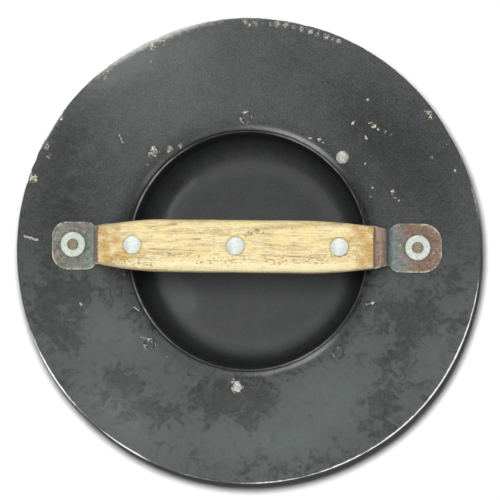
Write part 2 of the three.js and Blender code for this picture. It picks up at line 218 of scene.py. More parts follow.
# Chips in the black, by the photograph's pixels: x, y, radius in millimetres, strength.
CHIPS = [
    (163, 41, 2.8, 0.8), (152, 47, 2.8, 0.75), (139, 55, 1.8, 0.4), (106, 73, 2.4, 0.75),
    (108, 80, 1.6, 0.5), (61, 118, 2.4, 0.7), (58, 124, 1.6, 0.5), (47, 144, 1.6, 0.6),
    (33, 178, 3.3, 1.0), (31, 172, 2.2, 0.8), (249, 25, 1.6, 0.6), (286, 26, 1.8, 0.6),
    (312, 31, 2.0, 0.7), (326, 38, 1.6, 0.6), (427, 112, 2.0, 0.7), (431, 117, 1.8, 0.7),
    (374, 126, 2.3, 1.0), (371, 123, 1.4, 0.9), (378, 129, 1.2, 0.8), (353, 123, 1.6, 0.85),
    (366, 137, 1.5, 0.9), (393, 192, 1.8, 0.75), (396, 198, 1.6, 0.72), (399, 201, 1.1, 0.7),
    (372, 187, 1.6, 0.8), (371, 197, 1.3, 0.8), (368, 100, 1.3, 0.8), (431, 157, 1.4, 0.9),
    (455, 171, 1.7, 0.95), (365, 164, 1.1, 0.9), (310, 138, 1.5, 0.8), (319, 140, 1.5, 0.9),
    (248, 119, 1.3, 0.9), (323, 142, 1.0, 0.8),
    (168, 151, 1.4, 0.8), (160, 158, 1.2, 0.6), (147, 165, 1.5, 0.75), (177, 147, 1.2, 0.6),
    (69, 165, 0.9, 0.7), (81, 304, 1.4, 0.95), (134, 308, 1.0, 0.7), (372, 303, 1.3, 0.9),
    (473, 191, 1.3, 0.8), (469, 180, 1.0, 0.5), (151, 62, 0.9, 0.8), (188, 377, 0.9, 0.7),
    (214, 350, 0.9, 0.5), (398, 130, 0.9, 0.5), (440, 147, 1.0, 0.6), (446, 144, 1.0, 0.6),
    (122, 262, 0.9, 0.6), (124, 275, 0.9, 0.6), (340, 395, 0.8, 0.5), (297, 470, 0.8, 0.5),
]

# Places where the black is crazed into a net of thin pale lines, given in the same way.
CRAZED = [
    (238, 22, 3.0, 0.5), (246, 22, 3.4, 0.7), (254, 23, 3.6, 0.65), (262, 23, 3.0, 0.6),
    (270, 24, 3.4, 0.65), (278, 24, 3.6, 0.75), (286, 25, 3.6, 0.7), (294, 27, 3.2, 0.65),
    (302, 29, 3.4, 0.75), (310, 31, 3.4, 0.8), (318, 34, 3.2, 0.75), (326, 36, 3.2, 0.75),
    (333, 39, 2.8, 0.65), (338, 41, 2.6, 0.8), (47, 147, 2.6, 0.8), (48, 156, 2.4, 0.8),
    (106, 78, 2.6, 0.6),
    (385, 133, 2.8, 0.5), (391, 135, 2.0, 0.6), (383, 130, 2.0, 0.5), (429, 113, 3.0, 0.9),
    (170, 148, 2.6, 0.8), (180, 146, 2.4, 0.8), (152, 152, 3.2, 0.7), (150, 160, 2.2, 0.5),
    (247, 113, 2.4, 0.9), (248, 120, 3.0, 0.6), (151, 343, 3.4, 0.9), (166, 357, 2.0, 0.6),
    (238, 388, 3.2, 0.6), (233, 383, 2.6, 0.7), (303, 125, 2.4, 0.4), (410, 190, 2.4, 0.4),
    (85, 312, 5.0, 0.45), (70, 322, 5.0, 0.45), (72, 300, 4.0, 0.4), (440, 150, 2.8, 0.5),
    (122, 180, 2.0, 0.3), (340, 352, 2.6, 0.4), (210, 392, 2.0, 0.3), (300, 137, 2.0, 0.5),
]

# Scratches through the black: from and to, in pixels, and their width in millimetres.
SCRATCHES = [
    (24, 236, 38, 240, 0.9), (119, 134, 123, 143, 0.5), (365, 305, 374, 302, 0.4),
    (246, 112, 247, 124, 0.4), (134, 307, 139, 311, 0.4), (140, 337, 150, 339, 0.4),
    (150, 339, 156, 346, 0.4), (470, 168, 478, 196, 0.5), (232, 378, 240, 384, 0.4),
]

# Soft patches of the black that are darker (negative) or lighter: pixels x and y, radii along and
# across in millimetres, turn in degrees, strength.
TONE_PATCHES = [
    (411, 164, 52, 32, 118, -0.28), (365, 125, 30, 24, 130, -0.16), (61, 218, 34, 24, 80, -0.3),
    (70, 140, 22, 14, 50, -0.16), (168, 52, 40, 12, 22, 0.3), (121, 69, 30, 7, 35, 0.45),
    (165, 95, 40, 24, 30, 0.26), (261, 83, 30, 15, 90, 0.05), (110, 335, 24, 18, 0, 0.2),
    (120, 415, 36, 17, -40, 0.36), (250, 442, 46, 16, 0, 0.22), (330, 402, 28, 22, 30, 0.22),
    (345, 318, 14, 8, 60, -0.12), (300, 70, 26, 16, -20, -0.06), (440, 250, 16, 40, 0, -0.06),
    (440, 350, 26, 12, 60, 0.1),
]

# Ragged blotches of the darker or lighter black, most of them in the lower half.
BLOTCHES = [
    (62, 296, 14, 9, -15, -1.3), (84, 290, 10, 8, 0, -1.0), (45, 312, 9, 8, 0, -0.9),
    (66, 340, 9, 11, 0, -1.3), (50, 330, 9, 7, 0, -0.9), (105, 288, 8, 6, 0, -0.6),
    (114, 380, 13, 7, -40, -1.1), (140, 402, 13, 9, -45, -1.0), (160, 418, 10, 8, -30, -0.8),
    (120, 365, 8, 5, 0, -0.7), (240, 402, 22, 12, 0, -1.1), (262, 395, 12, 10, 0, -0.8),
    (215, 395, 12, 8, 0, -0.8), (417, 322, 17, 10, 0, -1.2), (430, 310, 8, 8, 0, -0.8),
    (400, 308, 9, 7, 0, -0.9), (389, 361, 9, 8, 0, -1.0), (405, 345, 9, 7, 0, -0.9),
    (388, 395, 8, 12, 20, -1.1), (377, 415, 10, 6, 20, -1.1), (385, 430, 8, 5, 0, -0.8),
    (372, 400, 7, 5, 0, -0.7), (111, 335, 8, 14, 0, 0.8), (150, 350, 26, 7, -25, 0.8),
    (311, 411, 26, 20, 0, 0.9), (350, 400, 14, 16, 0, 0.8), (433, 350, 9, 12, 0, 0.7),
    (130, 440, 30, 9, -35, 0.7), (250, 450, 30, 8, 0, 0.5), (200, 440, 14, 8, 0, 0.5),
    (92, 320, 5, 10, 0, 0.7), (60, 150, 16, 9, 60, -0.7), (50, 180, 12, 8, 80, -0.6),
    (95, 190, 14, 10, 0, -0.4), (80, 118, 10, 8, 40, 0.5),
]

# Stretches of the opening's bent edge that carry a painted highlight, where light catches the bend,
# of the plate beside the rim where the black has a pale frost, and of the rim, worn bare and with
# a painted highlight: angle and half width, strength.
LIP_HIGHLIGHT_WIDTH = 1.5
LIP_HIGHLIGHTS = [
    (55, 12, 0.8), (69, 11, 0.75), (84, 8, 0.3), (302, 13, 0.8), (280, 8, 0.35), (141, 9, 0.3),
]
FROSTED = [(120, 13, 1.15), (105, 9, 0.7), (149, 8, 0.5), (84, 16, 0.35)]
RIM_WORN_AND_LIT = [
    (-46, 13, 1.0), (-26, 9, 0.85), (-66, 9, 0.6), (-84, 9, 0.55), (-122, 7, 0.9), (-148, 12, 0.9),
    (148, 6, 0.6), (12, 5, 0.35), (-12, 6, 0.5), (84, 14, 0.45), (-103, 6, 0.3),
]


def arc(centre_x, centre_z, radius, start, end, steps):
    """Points along an arc; angles are in radians, from +x towards +z."""
    points = []
    for i in range(steps + 1):
        angle = start + (end - start) * i / steps
        points.append((centre_x + radius * math.cos(angle), centre_z + radius * math.sin(angle)))
    return points


def line(start, end, steps):
    """Points between two points, without the first and the last."""
    return [
        tuple(a + (b - a) * i / steps for a, b in zip(start, end)) for i in range(1, steps)
    ]


def piece_from(name, points, faces):
    """A new object from points in millimetres, smooth where its faces meet at a low angle."""
    mesh = bpy.data.meshes.new(name)
    mesh.from_pydata([Vector(p) * MM for p in points], [], faces)
    shape = bmesh.new()
    shape.from_mesh(mesh)
    bmesh.ops.remove_doubles(shape, verts=shape.verts, dist=1e-6)
    bmesh.ops.recalc_face_normals(shape, faces=shape.faces)
    shape.to_mesh(mesh)
    shape.free()
    mesh.shade_smooth()
    mesh.set_sharp_from_angle(angle=math.radians(45))
    piece = bpy.data.objects.new(name, mesh)
    bpy.context.collection.objects.link(piece)
    return piece


def rows_joined(points, count, closed):
    """Faces between rows of points, each row a loop of count points."""
    faces = []
    rows = len(points) // count
    for i in range(rows if closed else rows - 1):
        here, there = i * count, (i + 1) % rows * count
        for j in range(count):
            k = (j + 1) % count
            faces.append((here + j, there + j, there + k, here + k))
    return faces


def turned(name, profile, steps, worked):
    """A closed (radius, height) profile turned about Z. worked moves each point by hand."""
    points = []
    for i in range(steps):
        angle = 2 * math.pi * i / steps
        for radius, height in profile:
            x, y = radius * math.cos(angle), radius * math.sin(angle)
            points.append(worked(x, y, height, radius, angle))
    return piece_from(name, points, rows_joined(points, len(profile), True))


def placed(piece, node, finish):
    """Gives a piece its finish, hides the CAD node it stands in for, and attaches it to the root
    body.
    """
    piece.data.materials.append(finish)
    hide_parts(node)
    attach(piece, "root")


def around(angles, stretches):
    """Adds up stretches of a circle, given by angle and half width in degrees and strength."""
    found = 0 * angles
    for angle, half_width, strength in stretches:
        off = (numpy.degrees(angles) - angle + 180) % 360 - 180
        found = found + strength * numpy.exp(-((off / half_width) ** 2))
    return found


def plate_by_hand(x, y, z, radius, angle):
    """The sheet is a little wavy, and its rim was cut and filed by hand."""
    wave = noise.noise(Vector((x / 34, y / 34, 1.7))) * PLATE_UNEVEN
    wave += noise.noise(Vector((x / 11, y / 11, 5.1))) * PLATE_UNEVEN / 4
    from_rim = PLATE_RADIUS - radius
    if from_rim > RIM_SHAPE_REACH:
        return x, y, z + wave
    direction = Vector((math.cos(angle), math.sin(angle), 0))
    cut = 0.5 + 0.5 * noise.noise(direction * 3.1) + 0.25 * noise.noise(direction * 14)
    inwards = RIM_UNEVEN * cut + around(angle, RIM_NICKS)
    inwards *= max(0, 1 - from_rim / RIM_NICK_REACH)
    outwards = (1 - from_rim / RIM_SHAPE_REACH) * around(angle, RIM_SHAPE)
    kept = 1 + (outwards - inwards) / radius
    return x * kept, y * kept, z + wave


lip_centre_radius = OPENING_RADIUS + LIP_BEND * math.sin(LIP_TURN)
lip_centre = (lip_centre_radius, plate_back - LIP_BEND)
up = math.pi / 2
rim_inner = PLATE_RADIUS - RIM_ROUND
plate_profile = [
    *arc(rim_inner, plate_front + RIM_ROUND, RIM_ROUND, -up, 0, 4),
    *arc(rim_inner, plate_back - RIM_ROUND, RIM_ROUND, 0, up, 4),
    *line((rim_inner, plate_back), (lip_centre_radius, plate_back), 62),
    *arc(*lip_centre, LIP_BEND, up, up + LIP_TURN, 10),
    *arc(*lip_centre, LIP_BEND - PLATE_THICKNESS, up + LIP_TURN, up, 6),
    *line((lip_centre_radius, plate_front), (rim_inner, plate_front), 14),
]
plate = turned("buckler_plate", plate_profile, PLATE_AROUND, plate_by_hand)


def own_places(piece):
    """The points of a piece's mesh in its own coordinates, in metres, as an array."""
    found = numpy.empty(len(piece.data.vertices) * 3)
    piece.data.vertices.foreach_get("co", found)
    return found.reshape(-1, 3)


def places_of(piece):
    """Where the points of a piece's mesh are, in metres, as an array."""
    turn = numpy.array(piece.matrix_world)
    return own_places(piece) @ turn[:3, :3].T + turn[:3, 3]


def mark(piece, name, values):
    """Keeps a value for each point of a piece, for its finish to read."""
    kept = piece.data.attributes.new(name, "FLOAT", "POINT")
    kept.data.foreach_set("value", numpy.clip(values, -1, 1).astype(numpy.float32))


def near_spots(places, spots, height=plate_high.z):
    """How near each place is to the spots, given by pixel, radius in millimetres and strength."""
    nearness = numpy.zeros(len(places))
    for pixel_x, pixel_y, radius, strength in spots:
        spot = seen_at(pixel_x, pixel_y, height)
        gap = numpy.hypot(places[:, 0] - spot.x, places[:, 1] - spot.y) / (radius * MM)
        nearness = numpy.maximum(nearness, strength * numpy.exp(-(gap ** 2)))
    return nearness


def near_lines(places, lines, height=plate_high.z):
    """How near each place is to straight lines, fading over their width."""
    nearness = numpy.zeros(len(places))
    for from_x, from_y, to_x, to_y, width in lines:
        start, end = seen_at(from_x, from_y, height), seen_at(to_x, to_y, height)
        run = numpy.array([end.x - start.x, end.y - start.y])
        offset = places[:, :2] - numpy.array([start.x, start.y])
        along = numpy.clip(offset @ run / (run @ run), 0, 1)
        gap = numpy.linalg.norm(offset - along[:, None] * run, axis=1) / (width * MM)
        nearness = numpy.maximum(nearness, numpy.exp(-(gap ** 2)))
    return nearness


def tone_of(places, patches):
    """Adds up soft oval patches, darker or lighter."""
    tone = numpy.zeros(len(places))
    for pixel_x, pixel_y, long, short, turn, strength in patches:
        spot = seen_at(pixel_x, pixel_y)
        x, y = places[:, 0] - spot.x, places[:, 1] - spot.y
        cosine, sine = math.cos(math.radians(turn)), math.sin(math.radians(turn))
        along = (x * cosine + y * sine) / (long * MM)
        across = (y * cosine - x * sine) / (short * MM)
        tone += strength * numpy.exp(-(along ** 2) - across ** 2)
    return tone


plate_places = places_of(plate)
plate_angles = numpy.arctan2(plate_places[:, 1], plate_places[:, 0])
plate_radii = numpy.hypot(plate_places[:, 0], plate_places[:, 1]) / MM
on_back = plate_places[:, 2] / MM > plate_front + PLATE_THICKNESS / 2 - LIP_BEND
mark(plate, "chips", near_spots(plate_places, CHIPS) * on_back)
mark(plate, "crazed", near_spots(plate_places, CRAZED) * on_back)
mark(plate, "scratches", near_lines(plate_places, SCRATCHES) * on_back)
# Painted shade on the plate beside the opening, strongest at its left and right.
shade_beside_opening = numpy.exp(-(((plate_radii - SHADE_RING_RADIUS) / SHADE_RING_WIDTH) ** 2))
shade_beside_opening *= 0.4 + 0.6 * numpy.abs(numpy.cos(plate_angles))
mark(plate, "tone", tone_of(plate_places, TONE_PATCHES) - 0.3 * shade_beside_opening)
lower_part = 1 / (1 + numpy.exp((plate_places[:, 1] / MM + 5) / 9))
left_part = near_spots(plate_places, [UPPER_LEFT_BLOTCHES])
mark(plate, "blotchy", 0.12 + 0.88 * numpy.maximum(lower_part, left_part))
mark(plate, "blotches", 0.4 * lower_part + tone_of(plate_places, BLOTCHES))
# Painted highlight where light catches the bent edge of the opening.
lip_gap = (plate_radii - OPENING_RADIUS) / LIP_HIGHLIGHT_WIDTH - 1
mark(plate, "lip_highlight", around(plate_angles, LIP_HIGHLIGHTS) * numpy.exp(-(lip_gap ** 2)))
rim_radii = PLATE_RADIUS + around(plate_angles, RIM_SHAPE)
from_rim = numpy.clip(1 - (rim_radii - plate_radii) / FROST_REACH, 0, 1)
mark(plate, "frosted", around(plate_angles, FROSTED) * from_rim ** 1.5)
# The rim is worn bare all round; its stretches add a painted highlight where it shines brightest.
rim_nearness = numpy.clip((plate_radii - rim_radii + RIM_GLINT_REACH) / 0.4, 0, 1)
mark(plate, "rim_wear_and_glint", rim_nearness * (0.12 + around(plate_angles, RIM_WORN_AND_LIT)))


def worked_out(tree, operation, first, second=0.0, clamped=False):
    """A sum, product or the like of two values."""
    made = put(tree, "Math", {0: first, 1: second}, operation=operation, use_clamp=clamped)
    return made.outputs[0]


def added(tree, *values):
    """The sum of several values."""
    total = values[0]
    for value in values[1:]:
        total = worked_out(tree, "ADD", total, value)
    return total


def scaled(tree, value, factor):
    """A value times a factor."""
    return worked_out(tree, "MULTIPLY", value, factor)


def mixed(tree, share, first, second, blend="MIX"):
    """One colour over another."""
    sockets = {0: share, 6: first, 7: second}
    made = put(tree, "Mix", sockets, data_type="RGBA", blend_type=blend)
    return made.outputs[2]


def noisy(tree, place, scale, detail, roughness=0.5, distortion=0.0):
    """Plain noise, about 0.3 to 0.7."""
    return put(tree, "TexNoise", {
        "Vector": place, "Scale": scale, "Detail": detail, "Roughness": roughness,
        "Distortion": distortion,
    }).outputs[0]


def drawn_out(tree, place, stretch, detail, roughness=0.5, turn=0.0):
    """Noise with its own scale along each axis."""
    run = put(tree, "Mapping", {"Vector": place, "Rotation": (0, 0, turn), "Scale": stretch})
    return noisy(tree, run.outputs[0], 1.0, detail, roughness)


def effect(name, values, outputs):
    """A shader node group with a Vector, values and outputs by name, and its two end nodes."""
    tree = bpy.data.node_groups.new(name, "ShaderNodeTree")
    tree.interface.new_socket("Vector", in_out="INPUT", socket_type="NodeSocketVector")
    for label, value in values.items():
        socket = tree.interface.new_socket(label, in_out="INPUT", socket_type="NodeSocketFloat")
        socket.default_value = value
    for label in outputs:
        tree.interface.new_socket(label, in_out="OUTPUT", socket_type="NodeSocketFloat")
    given = tree.nodes.new("NodeGroupInput").outputs
    result = tree.nodes.new("NodeGroupOutput").inputs
    return tree, given, result


def uneven_effect():
    """Uneven tone: broad clouds, patches with ragged edges, and fine grain, each about 0 to 1."""
    tree, given, result = effect(
        "uneven tone", {"Patches Per Metre": 60.0, "Seed": 0.0}, ["Clouds", "Patches", "Grain"]
    )
    shifted = put(tree, "VectorMath", {0: given["Vector"], 1: given["Seed"]}, operation="ADD")
    place = shifted.outputs[0]
    rate = given["Patches Per Metre"]
    clouds = noisy(tree, place, scaled(tree, rate, 0.36), 3.0, 0.55)
    patches = noisy(tree, place, rate, 7.0, 0.66, 0.35)
    grain = noisy(tree, place, scaled(tree, rate, 14.0), 3.0, 0.6)
    tree.links.new(faded(tree, clouds, 0.3, 0.7), result["Clouds"])
    tree.links.new(faded(tree, patches, 0.32, 0.68), result["Patches"])
    tree.links.new(faded(tree, grain, 0.3, 0.7), result["Grain"])
    return tree


def flaked_effect():
    """Flakes gone from a coat: the bare metal, and a fringe round it."""
    tree, given, result = effect(
        "flaked coat", {"Nearness": 0.0, "Flakes Per Metre": 600.0, "Fringe": 0.16},
        ["Bare", "Fringe"],
    )
    ragged = noisy(tree, given["Vector"], given["Flakes Per Metre"], 4.0, 0.62, 0.4)
    spread = faded(tree, ragged, 0.28, 0.72)
    needed = worked_out(tree, "SUBTRACT", 1.22, scaled(tree, given["Nearness"], 1.1))
    over = worked_out(tree, "SUBTRACT", spread, needed)
    bare = faded(tree, over, 0.05, 0.14)
    fringe = faded(tree, added(tree, over, given["Fringe"]), 0.05, 0.16)
    tree.links.new(bare, result["Bare"])
    tree.links.new(worked_out(tree, "SUBTRACT", fringe, bare, clamped=True), result["Fringe"])
    return tree


def crazed_effect():
    """A net of thin lines where a coat has crazed, within the places where it is near."""
    tree, given, result = effect(
        "crazed coat", {"Nearness": 0.0, "Cells Per Metre": 680.0}, ["Lines"]
    )
    bend = put(tree, "TexNoise", {"Vector": given["Vector"], "Scale": 520.0, "Detail": 3.0})
    pushed = put(
        tree, "VectorMath", {0: bend.outputs[1], 1: (0.003, 0.003, 0.003)}, operation="MULTIPLY"
    )
    place = put(tree, "VectorMath", {0: given["Vector"], 1: pushed.outputs[0]}, operation="ADD")
    cells = put(tree, "TexVoronoi", {
        "Vector": place.outputs[0], "Scale": given["Cells Per Metre"],
    }, feature="DISTANCE_TO_EDGE")
    broken = noisy(tree, given["Vector"], 430.0, 3.0, 0.6)
    lines = faded(tree, cells.outputs[0], 0.17, 0.05)
    kept = faded(tree, added(tree, broken, given["Nearness"]), 0.95, 1.15)
    tree.links.new(scaled(tree, lines, kept), result["Lines"])
    return tree


UNEVEN = uneven_effect()
FLAKED = flaked_effect()
CRAZED_COAT = crazed_effect()


def new_finish(name):
    """A material with its tree, its shader and the piece's own coordinates."""
    finish = bpy.data.materials.new(name)
    finish.use_nodes = True
    tree = finish.node_tree
    shader = tree.nodes["Principled BSDF"]
    place = put(tree, "TexCoord").outputs["Object"]
    return finish, tree, shader, place


def marked(tree, name):
    """A value that mark() kept on the piece."""
    return put(tree, "Attribute", attribute_name=name).outputs["Fac"]


def grouped(tree, group, place, **inputs):
    """The outputs of an effect. Its inputs are named with _ for each space."""
    sockets = {label.replace("_", " "): value for label, value in inputs.items()}
    return tuple(put(tree, "Group", {"Vector": place, **sockets}, node_tree=group).outputs)


def finished(tree, shader, colour, rough, height, strength, depth):
    """Gives a shader its colour, roughness and bump."""
    bump = put(tree, "Bump", {"Strength": strength, "Distance": depth, "Height": height})
    tree.links.new(colour, shader.inputs["Base Color"])
    tree.links.new(rough, shader.inputs["Roughness"])
    tree.links.new(bump.outputs[0], shader.inputs["Normal"])


def blackened_steel(name, dark, light, seed, sandiness):
    """Steel blackened by heat and oil: satin and sandy, and in two blacks where it is blotchy."""
    finish, tree, shader, place = new_finish(name)
    clouds, patches, grain = grouped(tree, UNEVEN, place, Patches_Per_Metre=62, Seed=seed)
    frosted = faded(tree, noisy(tree, place, 130.0, 8.0, 0.72, 1.0), 0.34, 0.66)
    blotchy = marked(tree, "blotchy")
    plain = worked_out(tree, "SUBTRACT", 1.0, blotchy)
    level = added(
        tree, scaled(tree, frosted, 0.66), scaled(tree, patches, 0.34),
        scaled(tree, marked(tree, "blotches"), 0.4),
    )
    level = faded(tree, level, 0.27, 0.73)
    streaked = added(tree, faded(tree, noisy(tree, place, 330.0, 5.0, 0.7, 1.4), 0.34, 0.66), -0.5)
    sandy = added(tree, faded(tree, noisy(tree, place, 1050.0, 3.0, 0.75), 0.32, 0.68), -0.5)
    sandy = scaled(tree, sandy, scaled(tree, added(tree, plain, 0.22), sandiness))
    grained = scaled(tree, added(tree, grain, -0.5), added(tree, plain, 0.3))
    two_blacks = scaled(tree, added(tree, level, -0.5), scaled(tree, blotchy, 0.32))
    between = worked_out(tree, "SUBTRACT", 1.15, level)
    dark_streaks = scaled(tree, scaled(tree, streaked, blotchy), between)
    tone = added(
        tree, 0.33, scaled(tree, clouds, 0.06), scaled(tree, frosted, 0.1), two_blacks, sandy,
        scaled(tree, dark_streaks, 0.2), scaled(tree, grained, scaled(tree, sandiness, 0.5)),
        # The marked tone holds painted shade beside the plate's opening and painted light in the
        # boss's bowl.
        marked(tree, "tone"),
    )
    colour = mixed(tree, tone, dark, light)
    tinted = mixed(tree, level, (1.02, 0.985, 0.99, 1), (0.965, 1.015, 1.0, 1))
    colour = mixed(tree, 1.0, colour, tinted, "MULTIPLY")
    dust = faded(tree, noisy(tree, place, 640.0, 3.0, 0.7), 0.68, 0.8, 0.0, 0.9)
    dust = scaled(tree, dust, scaled(tree, plain, sandiness))
    colour = mixed(tree, dust, colour, (0.34, 0.33, 0.3, 1))
    rough = added(tree, 0.36, scaled(tree, patches, 0.1), scaled(tree, frosted, 0.08))
    height = added(tree, sandy, scaled(tree, grained, 0.3))
    return finish, tree, shader, place, colour, rough, height


def plate_finish():
    """The plate's black: chips, scratches, a painted highlight on the bend, a worn rim with painted
    highlight.
    """
    finish, tree, shader, place, colour, rough, height = blackened_steel(
        "blackened plate", (0.0115, 0.0125, 0.0125, 1), (0.107, 0.1155, 0.113, 1), 0.0, 0.31
    )
    broken = noisy(tree, place, 260.0, 6.0, 0.72)
    # Painted highlight on the bent edge of the opening.
    lip_highlight = faded(tree, broken, 0.25, 0.6, 0.6, 1.0)
    lip_highlight = scaled(tree, marked(tree, "lip_highlight"), lip_highlight)
    colour = mixed(tree, lip_highlight, colour, (0.25, 0.255, 0.25, 1))
    frosted = added(tree, marked(tree, "frosted"), scaled(tree, broken, 1.1))
    frosted = faded(tree, frosted, 0.75, 1.6, 0.0, 0.9)
    colour = mixed(tree, frosted, colour, (0.5, 0.51, 0.49, 1))
    crazed = grouped(tree, CRAZED_COAT, place, Nearness=marked(tree, "crazed"))[0]
    colour = mixed(tree, scaled(tree, crazed, 0.8), colour, (0.43, 0.42, 0.35, 1))
    chipped, fringe = grouped(tree, FLAKED, place, Nearness=marked(tree, "chips"))
    yellowed = mixed(tree, broken, (0.24, 0.17, 0.06, 1), (0.3, 0.28, 0.2, 1))
    colour = mixed(tree, fringe, colour, yellowed)
    colour = mixed(tree, chipped, colour, (0.56, 0.55, 0.44, 1))
    scratched = added(tree, marked(tree, "scratches"), noisy(tree, place, 900.0, 2.0))
    scratch = faded(tree, scratched, 0.95, 1.15)
    colour = mixed(tree, scaled(tree, scratch, 0.8), colour, (0.42, 0.41, 0.34, 1))
    # The worn rim, with its painted highlight.
    worn = worked_out(tree, "SUBTRACT", marked(tree, "rim_wear_and_glint"), scaled(tree, broken, 0.9))
    rim = faded(tree, worn, -0.2, 0.3)
    colour = mixed(tree, rim, colour, (0.9, 0.92, 0.91, 1))
    bare = worked_out(tree, "MAXIMUM", chipped, scratch)
    bare = worked_out(tree, "MAXIMUM", bare, rim)
    sunk = worked_out(tree, "SUBTRACT", height, bare)
    rough = added(tree, rough, scaled(tree, bare, 0.1))
    shader.inputs["Metallic"].default_value = 0.2
    finished(tree, shader, colour, rough, sunk, 0.45, 0.00012)
    return finish


placed(plate, "plate", plate_finish())

# Boss. A deep bowl raised from one round of sheet steel and blackened like the plate. Its flange
# lies against the front of the plate, and the edge of the plate's opening nests in its bend.
boss_low, boss_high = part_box("boss")
BOSS_THICKNESS = 1.6
BOSS_BEND = 6
BOSS_DRAFT = math.radians(8)
BOSS_CORNER = 18
BOSS_CROWN = 320
FOOT_RADIUS = 20
SEAT_GAP = 0.05
BOSS_AROUND = 480
BOSS_UNEVEN = 0.45
flange_radius = (boss_high.x - boss_low.x) / 2 / MM
flange_back = boss_high.z / MM


def bowl_face(offset):
    """One face of the boss from its flange to its middle; offset is 0 at the back face."""
    lip_front = LIP_BEND - PLATE_THICKNESS
    lip_x = lip_centre[0] - lip_front * math.sin(LIP_TURN)
    lip_z = lip_centre[1] + lip_front * math.cos(LIP_TURN)
    bend_z = flange_back - BOSS_BEND
    bend_x = lip_x + math.sqrt((BOSS_BEND + SEAT_GAP) ** 2 - (lip_z - bend_z) ** 2)
    crown_z = math.sqrt((BOSS_CROWN + BOSS_THICKNESS) ** 2 - FOOT_RADIUS ** 2)
    cosine, sine = math.cos(BOSS_DRAFT), math.sin(BOSS_DRAFT)
    wall = bend_x * cosine - bend_z * sine - BOSS_BEND - BOSS_CORNER
    half = crown_z * cosine
    rest = wall ** 2 + 2 * wall * crown_z * sine
    along = half - math.sqrt(half ** 2 - rest - crown_z ** 2 + (BOSS_CROWN - BOSS_CORNER) ** 2)
    corner = (wall * cosine + along * sine, -wall * sine + along * cosine)
    slope = math.atan2(corner[0], crown_z - corner[1])
    crown = BOSS_CROWN + offset
    foot_slope = math.asin(FOOT_RADIUS / crown)
    flange_edge = (flange_radius, flange_back - offset)
    bend = arc(bend_x, bend_z, BOSS_BEND - offset, up, math.pi - BOSS_DRAFT, 14)
    turn_in = arc(corner[0], corner[1], BOSS_CORNER + offset, -BOSS_DRAFT, slope - up, 22)
    dome = arc(0, crown_z, crown, slope - up, foot_slope - up, 20)[1:]
    middle = (0, dome[-1][1])
    return [
        flange_edge, *line(flange_edge, bend[0], 8), *bend, *line(bend[-1], turn_in[0], 12),
        *turn_in, *dome, *line(dome[-1], middle, 8), middle,
    ]


def boss_by_hand(x, y, z, radius, angle):
    """The bowl keeps the soft unevenness of its raising, most of all low in its corner."""
    corner_part = math.exp(-(((radius - 64) / 14) ** 2)) * (z < flange_back - 8)
    direction = Vector((x, y, 0)).normalized()
    swell = noise.noise(Vector((x / 24, y / 24, 8.3)))
    swell += 0.4 * noise.noise(Vector((x / 9, y / 9, 3.3)))
    rounded = (flange_back - z) / flange_back
    inwards = BOSS_UNEVEN * corner_part * swell
    lift = 0.18 * rounded * noise.noise(Vector((x / 30, y / 30, 2.2))) if z > 3 else 0
    return x - direction.x * inwards, y - direction.y * inwards, z + abs(lift)


boss_profile = [*reversed(bowl_face(BOSS_THICKNESS)), *bowl_face(0)]
boss = turned("buckler_boss", boss_profile, BOSS_AROUND, boss_by_hand)
boss_places = places_of(boss) / MM
boss_radii = numpy.hypot(boss_places[:, 0], boss_places[:, 1])
boss_angles = numpy.arctan2(boss_places[:, 1], boss_places[:, 0])

# Painted light and shade in the bowl: its floor is painted as lit and its wall as shaded, the floor
# a little lighter towards the bottom of the picture, with painted reflections along an arc and on a
# patch and a streak at its left.
FLOOR_LIGHT_RADIUS = 65.5
FLOOR_LIGHT_MIDDLE = (0.6, -4.8)
FLOOR_HEIGHT = 0.009
FLOOR_REACH = 68
FLOOR_REFLECTION_ARC = [(167, 226, 170, 211, 1.3), (170, 211, 178, 197, 1.5), (178, 197, 195, 180, 1.3)]
FLOOR_REFLECTION_STREAK = (166, 270, 190, 303, 3.4)
FLOOR_REFLECTION_PATCH = [
    (168, 285, 8.0, 0.5), (180, 298, 9.0, 0.6), (189, 306, 5.0, 0.4), (172, 275, 5.0, 0.3),
]
from_light = boss_places[:, :2] - numpy.array(FLOOR_LIGHT_MIDDLE)
in_floor = numpy.hypot(from_light[:, 0], from_light[:, 1])
# Painted light on the bowl's floor and painted shade on its wall.
lit_floor_part = 1 / (1 + numpy.exp((in_floor - FLOOR_LIGHT_RADIUS) / 1.0))
painted_bowl_light = lit_floor_part * (0.12 - 0.07 * boss_places[:, 1] / 60) - 0.2 * (1 - lit_floor_part)
painted_bowl_light += 0.17 * numpy.exp(-(((in_floor - FLOOR_LIGHT_RADIUS + 5) / 5) ** 2))
on_floor = boss_radii < FLOOR_REACH
# Painted reflections on the bowl's floor and corner at its left.
painted_bowl_light += 0.45 * near_lines(boss_places * MM, [FLOOR_REFLECTION_STREAK], FLOOR_HEIGHT)
painted_bowl_light += 0.6 * near_lines(boss_places * MM, FLOOR_REFLECTION_ARC, FLOOR_HEIGHT) * on_floor
painted_bowl_light += 0.95 * near_spots(boss_places * MM, FLOOR_REFLECTION_PATCH, FLOOR_HEIGHT) * on_floor
mark(boss, "tone", painted_bowl_light)

# The bend's edge, just inside the opening, carries a thin painted highlight all round, coloured
# like rubbed-bare metal and brighter in stretches.
BEND_HIGHLIGHTS = [
    (145, 18, 1.0), (208, 15, 0.6), (62, 13, 1.3), (38, 13, 0.5), (300, 16, 0.5), (0, 14, 0.3),
]
RUBBED_RADIUS = 78.3
RUBBED_WIDTH = 0.38
rubbed_line = numpy.exp(-(((boss_radii - RUBBED_RADIUS) / RUBBED_WIDTH) ** 2))
rubbed_line *= boss_places[:, 2] > flange_back - 7
mark(boss, "bend_highlight", rubbed_line * (0.22 + around(boss_angles, BEND_HIGHLIGHTS)))


